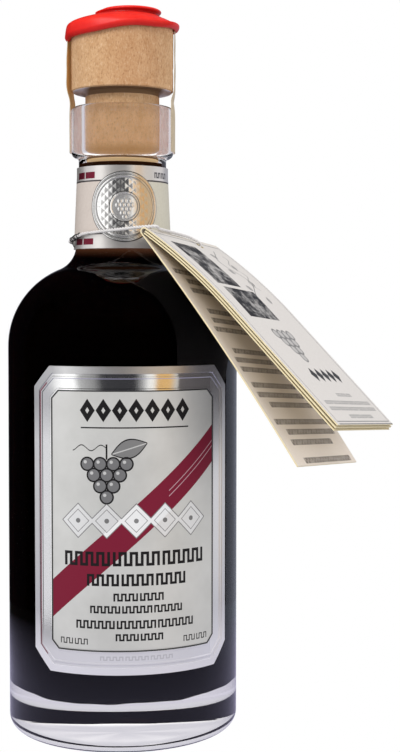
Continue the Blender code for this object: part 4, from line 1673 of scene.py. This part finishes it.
def make_reflector(pieces):
    """A ring of soft panels that only the foil sees: white at the left, dark ahead, gold at the right."""
    columns = range(-REFLECTOR_STEPS, REFLECTOR_STEPS + 1)
    angles = [math.radians(REFLECTOR_END * column / REFLECTOR_STEPS) for column in columns]
    rows = [[around(angle, REFLECTOR_RADIUS, height) for angle in angles] for height in REFLECTOR_HEIGHTS]
    mesh = sheet_mesh("reflector", rows)
    set_field(mesh, "angle", [math.degrees(math.atan2(v.co.x, -v.co.y)) for v in mesh.vertices])
    finish = Finish("reflector", BLACK, 1.0)
    ramp = finish.add("ValToRGB", Fac=finish.between(finish.field("angle"), -180.0, 180.0))
    stops = ramp.color_ramp.elements
    stops.remove(stops[1])
    for index, (angle, colour) in enumerate(REFLECTOR_STOPS):
        place = (angle + 180) / 360
        stop = stops[0] if index == 0 else stops.new(place)
        stop.position = place
        stop.color = (*colour, 1.0)
    finish.only_glow(ramp.outputs["Color"])
    dress(mesh, [finish])
    obj = linked("reflector", mesh)
    obj.visible_camera = False
    obj.visible_diffuse = False
    obj.visible_transmission = False
    obj.visible_shadow = False
    obj.light_linking.receiver_collection = only(pieces)


def make_world():
    """White all round; glossy surfaces see a dark studio with a pale rear right side."""
    world = bpy.data.worlds.new("studio")
    bpy.context.scene.world = world
    world.use_nodes = True
    nodes = Nodes(world.node_tree)
    nodes.tree.nodes.clear()
    x, y, z = nodes.axes("Generated")
    rear_right = nodes.between(x * 0.8 + y * 0.6, 0.45, 0.9, "SMOOTHSTEP")
    glossy = nodes.mix(rear_right, (0.004, 0.003, 0.004), (0.3, 0.32, 0.39))
    glossy = nodes.mix(nodes.between(y, 0.985, 0.998, "SMOOTHSTEP"), glossy, (0.9, 0.9, 0.95))
    high = nodes.between(z, 0.25, 0.8, "SMOOTHSTEP")
    through = nodes.mix(high, (0.7, 0.69, 0.73), (1.8, 1.75, 1.7))
    colour = nodes.mix(nodes.between(z, -0.6, 0.9, "SMOOTHSTEP"), (0.62, 0.62, 0.66), (0.95, 0.94, 0.93))
    for ray, seen in (("Glossy", glossy), ("Transmission", through), ("Camera", WHITE)):
        colour = nodes.mix(nodes.seen_by(ray), colour, seen)
    background = nodes.add("Background", Color=colour)
    output = nodes.add("OutputWorld")
    nodes.tree.links.new(background.outputs["Background"], output.inputs["Surface"])
    world.cycles.sampling_method = "NONE"


def area_light(name, place, target_height, size, power):
    """A round light that shines at a place on the bottle's axis and isn't itself mirrored."""
    data = bpy.data.lights.new(name, "AREA")
    data.shape = "DISK"
    data.size = size
    data.energy = power
    light = linked(name, data)
    light.location = place
    aim = Vector((0.0, 0.0, target_height)) - Vector(place)
    light.rotation_euler = aim.to_track_quat("-Z", "Y").to_euler()
    light.visible_glossy = False
    light.visible_transmission = False
    return light


def make_lights(wax):
    area_light("key", (-0.45, -0.6, 0.75), 0.12, 0.5, 5.0)
    area_light("fill", (0.65, -0.6, 0.25), 0.1, 0.5, 1.4)
    area_light("rim", (0.6, 0.5, 0.5), 0.12, 0.4, 2.0)
    shine = area_light("wax_shine", (-0.25, -0.3, 0.55), 0.19, 0.5, 1.3)
    shine.visible_glossy = True
    shine.light_linking.receiver_collection = only([wax])


def main():
    bpy.context.scene.view_settings.view_transform = "Standard"
    make_camera()
    make_bottle(glass_finish())
    make_vinegar(vinegar_finish())
    make_stopper(cork_finish())
    wax = make_wax(wax_finish())
    strips = strip_finishes()
    make_strip("strip_left", -1, 0.1834, strips, "seal_strip_left")
    make_strip("strip_right", 1, 0.1852, strips, "seal_strip_right")
    band = make_band(band_finish())
    seal = make_seal(seal_finish())
    label = make_label(label_finish())
    edge = tag_ground("tag_edge", (0.84, 0.74, 0.5), (0.72, 0.6, 0.34))
    plain = tag_ground("tag_plain", (0.72, 0.68, 0.62), (0.64, 0.6, 0.54))
    # The lower leaf's outer face is painted dark as shade, so the glass mirrors no pale reflection of it.
    back = tag_ground("tag_back", (0.3, 0.28, 0.27), (0.24, 0.22, 0.21))
    make_tag_cover(tag_outside_finish(), tag_inside_finish(), edge, plain, back)
    make_tag_pages(tag_ground("tag_page", (0.78, 0.68, 0.45), (0.7, 0.6, 0.38)), edge)
    make_string(thread_finish("white_thread", (0.82, 0.8, 0.79), (0.6, 0.58, 0.57)))
    make_knot(thread_finish("dark_thread", (0.05, 0.045, 0.045), (0.015, 0.014, 0.014)))
    make_floor()
    make_reflector([band, seal, label])
    make_world()
    make_lights(wax)


main()
